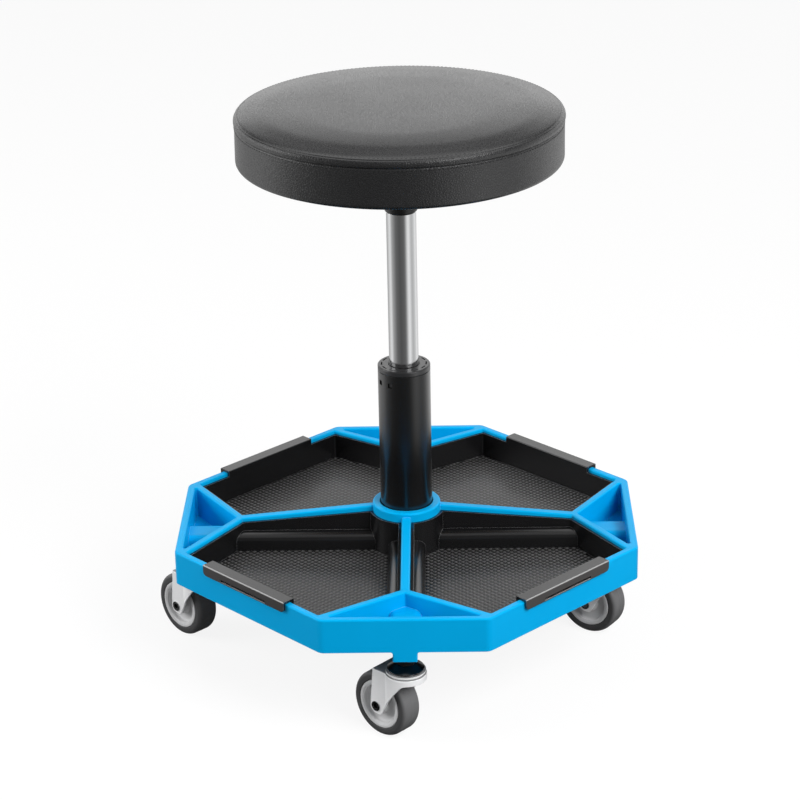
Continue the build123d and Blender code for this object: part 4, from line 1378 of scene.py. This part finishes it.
@dataclass
class Wheel:
    """Tyre and moulded centre of one caster wheel, turned about the axle.

    tread_span has the shares of the shoulder, inwards from the tread, where the tread's colour
    starts and is full. mould_line has half the line's width and its rise.
    """

    corner: Corner
    radius: float = 31.7 * MM
    half_width: float = 11.25 * MM
    shoulder: float = 4.2 * MM
    tread_span: Point = (0.75, 0.1)
    rim_radius: float = 23.6 * MM
    rim_step: float = 0.5 * MM
    mould_line: Point = (0.35 * MM, 0.12 * MM)
    ring_radius: float = 23.5 * MM
    dish_radius: float = 19.3 * MM
    dish_depth: float = 5.0 * MM
    hub_radius: float = 9.0 * MM
    hub_rise: float = 1.6 * MM
    bore_radius: float = 6.1 * MM
    edge: float = 0.4 * MM
    sharp_angle: float = 40.0
    segments: int = 96

    def place(self, frame: Frame) -> Matrix:
        """Turns a mesh made about Z on to this wheel's axle.

        Args:
            frame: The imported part, whose joint gives the axle.

        Returns:
            The placing matrix.
        """
        joint = frame.joints[f"wheel_spin_{self.corner.value}"]
        turn = Vector((0, 0, 1)).rotation_difference(Vector(joint["axis"])).to_matrix().to_4x4()
        return Matrix.Translation(joint["pos_m"]) @ turn

    def tyre_profile(self) -> list[Point]:
        """Half section of the tyre: side wall, round shoulder and a mould line on the tread."""
        w, s, r = self.half_width, self.shoulder, self.radius
        inner, step = self.rim_radius, self.rim_step
        line, rise = self.mould_line
        return joined(
            [(inner, w - step), (inner + step, w - step), (inner + 1.6 * step, w - 0.1 * MM)],
            straight((inner + 2 * step, w), (r - s, w), 3),
            arc((r - s, w - s), s, 90, 0, 10),
            straight((r, w - s), (r, line), 4),
            [(r + rise, 0.0)],
        )

    def centre_profile(self) -> list[Point]:
        """Half section of the wheel's centre: hub, dished web and stepped outer ring."""
        w, edge = self.half_width, self.edge
        top, deep = w + self.hub_rise, w - self.dish_depth
        ring, inner = self.ring_radius, self.dish_radius
        hub, bore = self.hub_radius, self.bore_radius
        return joined(
            [(bore, top - 0.2 * MM), (bore + edge, top), (hub - edge, top), (hub, top - edge)],
            straight((hub, w), (hub + 0.9 * MM, deep + 1.0 * MM), 3),
            arc_through((hub + 1.0 * MM, deep + 0.7 * MM), (hub + 1.4 * MM, deep + 0.15 * MM),
                        (hub + 2.2 * MM, deep), 4),
            straight((hub + 2.2 * MM, deep), (inner - 2.6 * MM, deep + 0.3 * MM), 3),
            arc_through((inner - 2.6 * MM, deep + 0.3 * MM), (inner - 1.2 * MM, deep + 1.1 * MM),
                        (inner - 0.7 * MM, deep + 2.6 * MM), 5),
            [(inner - 0.3 * MM, w - 0.7 * MM), (inner, w - 0.45 * MM),
             (inner + 0.9 * MM, w - 0.4 * MM), (inner + 1.2 * MM, w - 0.1 * MM),
             (inner + 1.5 * MM, w), (ring - edge, w), (ring, w - edge)],
        )

    def turned(self, name: str, half: list[Point]) -> Mesh:
        """Turns a half section and its mirror image about Z.

        Args:
            name: The mesh's name.
            half: Section on the side of positive heights.

        Returns:
            The closed mesh.
        """
        mirrored = [(radius, -height) for radius, height in reversed(half) if height > 0]
        return turned_mesh(name, half + mirrored, self.segments, closed=True)

    def mark_tread(self, mesh: Mesh) -> None:
        """Marks the tread of a tyre with an attribute.

        Args:
            mesh: The tyre, still about Z.
        """
        marks = mesh.attributes.new("tread", "FLOAT", "POINT")
        start, end = (self.radius - share * self.shoulder for share in self.tread_span)
        for vertex, mark in zip(mesh.vertices, marks.data):
            reach = math.hypot(vertex.co.x, vertex.co.y)
            mark.value = max(0.0, min(1.0, (reach - start) / (end - start)))

    def mount(self, mesh: Mesh, frame: Frame) -> None:
        """Points the faces of a closed mesh outwards and puts it on the axle.

        Args:
            mesh: The mesh, made about Z.
            frame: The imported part.
        """
        work = bmesh.new()
        work.from_mesh(mesh)
        bmesh.ops.recalc_face_normals(work, faces=work.faces)
        work.to_mesh(mesh)
        work.free()
        mesh.transform(self.place(frame))
        mesh.shade_smooth()

    def build(self, frame: Frame) -> None:
        """Makes both pieces.

        Args:
            frame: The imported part.
        """
        side = self.corner.value
        name = f"tyre_tread_{side}"
        tyre = self.turned(name, self.tyre_profile())
        self.mark_tread(tyre)
        self.mount(tyre, frame)
        add_piece(name, tyre, f"wheel_{side}", TYRE_GREY, (f"tyre_{side}",))
        name = f"wheel_centre_{side}"
        centre = self.turned(name, self.centre_profile())
        self.mount(centre, frame)
        centre.set_sharp_from_angle(angle=math.radians(self.sharp_angle))
        add_piece(name, centre, f"wheel_{side}", WHEEL_GREY, (f"wheel_rim_{side}",))


@dataclass
class PackedPieces:
    """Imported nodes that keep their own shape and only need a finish."""

    frame: Frame

    def build(self) -> None:
        """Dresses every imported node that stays."""
        dress = self.frame.dress
        dress(BASE_BLUE, "base_moulding")
        dress(TRAY_BLACK, *(f"tray_{quarter.label}" for quarter in Quarter))
        dress(COLUMN_BLACK, "column_tube")
        dress(GUIDE_BLACK, "column_guide")
        dress(LIFT_CHROME, "gas_cylinder")
        dress(SLEEVE_NYLON, "cylinder_gland")
        dress(BUMP_RUBBER, "bump_stop")
        dress(BRIGHT_STEEL, "piston_rod", "rod_clip", "thrust_race_lower", "thrust_race_upper",
              "thrust_balls", "valve_button", "lever_pin", "caster_inserts", "cover_staples")
        dress(FORK_ZINC, "seat_bolts", "seat_tee_nuts")
        dress(PLATE_BLACK, "seat_plate", "release_lever")
        dress(HANDLE_BLACK, "lever_grip")
        dress(SEAT_PLY, "seat_board")
        for side in (corner.value for corner in Corner):
            dress(STEM_BLACK, f"stem_{side}")
            dress(RACE_CHROME, f"race_cup_{side}")
            dress(BRIGHT_STEEL, f"race_balls_{side}", f"axle_{side}")
            dress(FORK_ZINC, f"fork_{side}")
            dress(SLEEVE_NYLON, f"axle_sleeve_{side}")


@dataclass(frozen=True)
class Lamp:
    """Square soft lamp, with the level at which gloss sees its cloth."""

    name: str
    place: tuple[float, float, float]
    power: float
    level: float
    size: float = 1.6


@dataclass
class Studio:
    """Floor, light and camera.

    The levels are pairs of height and brightness: the wall's and the sky's by the sine of the
    elevation, the card's by the share of its own height. The bands are pairs of bearing in
    degrees and brightness. Within near_floor, gloss sees the floor darken to near_level.
    """

    floor_half: float = 30.0
    floor_tone: Colour = (0.22, 0.22, 0.22)
    floor_glow: float = 1.76
    glow_share: float = 0.5
    azimuth: float = 1.16
    elevation: float = 22.8
    roll: float = -1.15
    distance: float = 2.49067
    target: tuple[float, float, float] = (-0.0044, -0.0001, 0.2526)
    focal_pixels: float = 2613.69
    picture_width: int = 800
    sensor: float = 36.0
    far_limit: float = 100.0
    near_floor: Point = (0.40, 0.60)
    near_level: float = 0.06
    card_half: float = 3.0
    card_top: float = 1.25
    card_back: float = 1.5
    card_glow: float = 1.6
    card_levels: tuple[Point, ...] = (
        (0.0, 0.35), (0.50, 0.6), (0.56, 0.85), (0.64, 0.85), (0.70, 1.05), (0.745, 0.8),
        (0.785, 0.95), (0.84, 1.0), (0.90, 0.4), (0.95, 0.08), (1.0, 0.06))
    room_glow: float = 1.5
    wall_levels: tuple[Point, ...] = (
        (0.0, 0.5), (0.30, 0.4), (0.45, 0.08), (0.62, 0.08), (0.74, 0.9), (1.0, 0.9))
    front_level: float = 0.3
    sky_levels: tuple[Point, ...] = ((0.0, 0.25), (1.0, 0.55))
    lamps: tuple[Lamp, ...] = (Lamp("key", (1.67, -1.67, 2.1), 106.0, 3.0),
                               Lamp("fill", (-2.6, 0.0, 1.0), 56.0, 2.0))
    bands: tuple[Point, ...] = (
        (-180, 0.42), (-134, 0.55), (-118, 0.75), (-104, 0.92), (-93, 0.84), (-82, 0.48),
        (-64, 0.31), (-46, 0.16), (-15, 0.10), (15, 0.14), (23, 0.19), (30, 0.35), (38, 0.64),
        (47, 0.94), (55, 1.0), (64, 0.86), (73, 0.66), (82, 0.55), (104, 0.7), (118, 0.95),
        (134, 0.9), (180, 0.5))

    def camera(self) -> None:
        """Puts the camera where the photograph was taken from."""
        az, el, roll = (math.radians(a) for a in (self.azimuth, self.elevation, self.roll))
        back = Vector((math.sin(az) * math.cos(el), -math.cos(az) * math.cos(el), math.sin(el)))
        right = (-back).cross(Vector((0, 0, 1))).normalized()
        up = right.cross(-back)
        level = right * math.cos(roll) + up * math.sin(roll)
        plumb = up * math.cos(roll) - right * math.sin(roll)
        data = bpy.data.cameras.new("photo_camera")
        data.sensor_width = self.sensor
        data.lens = self.focal_pixels * self.sensor / self.picture_width
        data.clip_end = self.far_limit
        camera = in_scene("photo_camera", data)
        turn = Matrix((level, plumb, back)).transposed().to_4x4()
        camera.matrix_world = Matrix.Translation(Vector(self.target) + back * self.distance) @ turn
        bpy.context.scene.camera = camera

    def cards(self) -> bpy.types.NodeTree:
        """Group that gives the floor's brightness in a direction, as polished metal sees it."""
        def fill(graph: Graph, given: Sockets) -> dict[str, Socket]:
            x, y, _ = graph.split(given[0])
            bearing = graph.math("ARCTAN2", x, graph.math("MULTIPLY", y, -1.0))
            share = graph.math("MULTIPLY_ADD", bearing, 1 / FULL_TURN, 0.5)
            level = graph.ramp(share, *((b / 360 + 0.5, level) for b, level in self.bands))
            far = graph.vector("LENGTH", given[0])["Value"]
            clear = graph.remap(far, self.near_floor, start=self.near_level)
            return {"Level": graph.math("MULTIPLY", level, clear)}
        return node_group("studio_cards", {"Direction": None}, ("Level",), fill)

    def world(self) -> None:
        """White room for the camera, a bright horizon for gloss and soft light for the rest."""
        world = bpy.data.worlds.new("studio")
        bpy.context.scene.world = world
        world.use_nodes = True
        graph = Graph(world.node_tree)
        rays = graph.add("ShaderNodeLightPath").outputs
        _, ahead, height = graph.split(graph.add("ShaderNodeTexCoord").outputs["Generated"])
        behind = graph.remap(ahead, (-0.5, 0.5), start=self.front_level)
        room = graph.math("MULTIPLY", graph.ramp(height, *self.wall_levels), behind)
        glossy, soft, white = (
            graph.add("ShaderNodeBackground", {"Color": colour, "Strength": strength}).outputs[0]
            for colour, strength in ((room, self.room_glow),
                                     (graph.ramp(height, *self.sky_levels), 1.0), (WHITE, 1.0)))
        mirrored = graph.add("ShaderNodeMixShader", {0: rays["Is Glossy Ray"], 1: soft, 2: glossy})
        seen = graph.add("ShaderNodeMixShader", {
            0: rays["Is Camera Ray"], 1: mirrored.outputs[0], 2: white})
        output = graph.add("ShaderNodeOutputWorld", {0: seen.outputs[0]})
        output.is_active_output = True

    @staticmethod
    def _hang_card(mesh: Mesh, material: bpy.types.Material) -> None:
        """Hangs a card that only glossy surfaces see.

        Args:
            mesh: The card, in place.
            material: Its glow.
        """
        mesh.materials.append(material)
        card = in_scene(mesh.name, mesh)
        card.visible_camera = False
        card.visible_diffuse = False
        card.visible_transmission = False
        card.visible_shadow = False
        card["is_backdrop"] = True

    def back_card(self) -> None:
        """Stands a bright card behind the stool, which only glossy surfaces see."""
        half, top = self.card_half, self.card_top
        mesh = sheet("back_card", ((x, self.card_back, z) for x, z in (
            (-half, 0.0), (half, 0.0), (half, top), (-half, top))))
        material, graph = blank_material("back_card")
        height = graph.split(graph.add("ShaderNodeTexCoord").outputs["Object"])["Z"]
        level = graph.ramp(graph.math("DIVIDE", height, top), *self.card_levels)
        glow = graph.add("ShaderNodeEmission", {"Color": level, "Strength": self.card_glow})
        graph.add("ShaderNodeOutputMaterial", {0: glow.outputs[0]})
        self._hang_card(mesh, material)

    def floor(self) -> None:
        """Pale floor that keeps the object's shadow."""
        mesh = square("studio_floor", Matrix(), 2 * self.floor_half)
        material, graph = blank_material("studio_floor")
        rays = graph.add("ShaderNodeLightPath").outputs
        matt = graph.add("ShaderNodeBsdfDiffuse", {"Color": (*self.floor_tone, 1)})
        glow = graph.add("ShaderNodeEmission", {"Color": WHITE, "Strength": self.floor_glow})
        place = graph.add("ShaderNodeTexCoord").outputs["Object"]
        room = graph.add("ShaderNodeGroup", {0: place}, node_tree=self.cards())
        card = graph.add("ShaderNodeEmission", {"Color": room.outputs[0], "Strength": 1.0})
        share = graph.math("MULTIPLY", rays["Is Camera Ray"], self.glow_share)
        seen = graph.add("ShaderNodeMixShader", {0: share, 1: matt.outputs[0], 2: glow.outputs[0]})
        mirrored = graph.add("ShaderNodeMixShader", {
            0: rays["Is Glossy Ray"], 1: seen.outputs[0], 2: card.outputs[0]})
        graph.add("ShaderNodeOutputMaterial", {0: mirrored.outputs[0]})
        mesh.materials.append(material)
        floor = in_scene("studio_floor", mesh)
        floor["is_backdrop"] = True

    def hang(self, lamp: Lamp) -> None:
        """Hangs a soft lamp, and a card that stands in for it in gloss and doesn't dazzle.

        Args:
            lamp: The lamp.
        """
        data = bpy.data.lights.new(lamp.name, "AREA")
        data.shape = "SQUARE"
        data.size = lamp.size
        data.energy = lamp.power
        light = in_scene(lamp.name, data)
        aim = Vector(self.target) - Vector(lamp.place)
        turn = Matrix.Translation(lamp.place) @ aim.to_track_quat("-Z", "Y").to_matrix().to_4x4()
        light.matrix_world = turn
        light.visible_glossy = False
        name = f"{lamp.name}_card"
        material, graph = blank_material(name)
        glow = graph.add("ShaderNodeEmission", {"Color": WHITE, "Strength": lamp.level})
        graph.add("ShaderNodeOutputMaterial", {0: glow.outputs[0]})
        self._hang_card(square(name, turn, lamp.size), material)

    def build(self) -> None:
        """Sets the camera, room, floor and lamps."""
        bpy.context.scene.view_settings.view_transform = "Standard"
        self.camera()
        self.world()
        self.floor()
        self.back_card()
        for lamp in self.lamps:
            self.hang(lamp)


def main() -> None:
    """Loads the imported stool, dresses it and sets the studio."""
    logging.basicConfig(level=logging.INFO, format="%(name)s: %(message)s")
    frame = Frame()
    PackedPieces(frame).build()
    Cushion().build()
    KnurledFloor().build()
    for corner in Corner:
        Wheel(corner).build(frame)
    Studio().build()


if __name__ == "__main__":
    main()
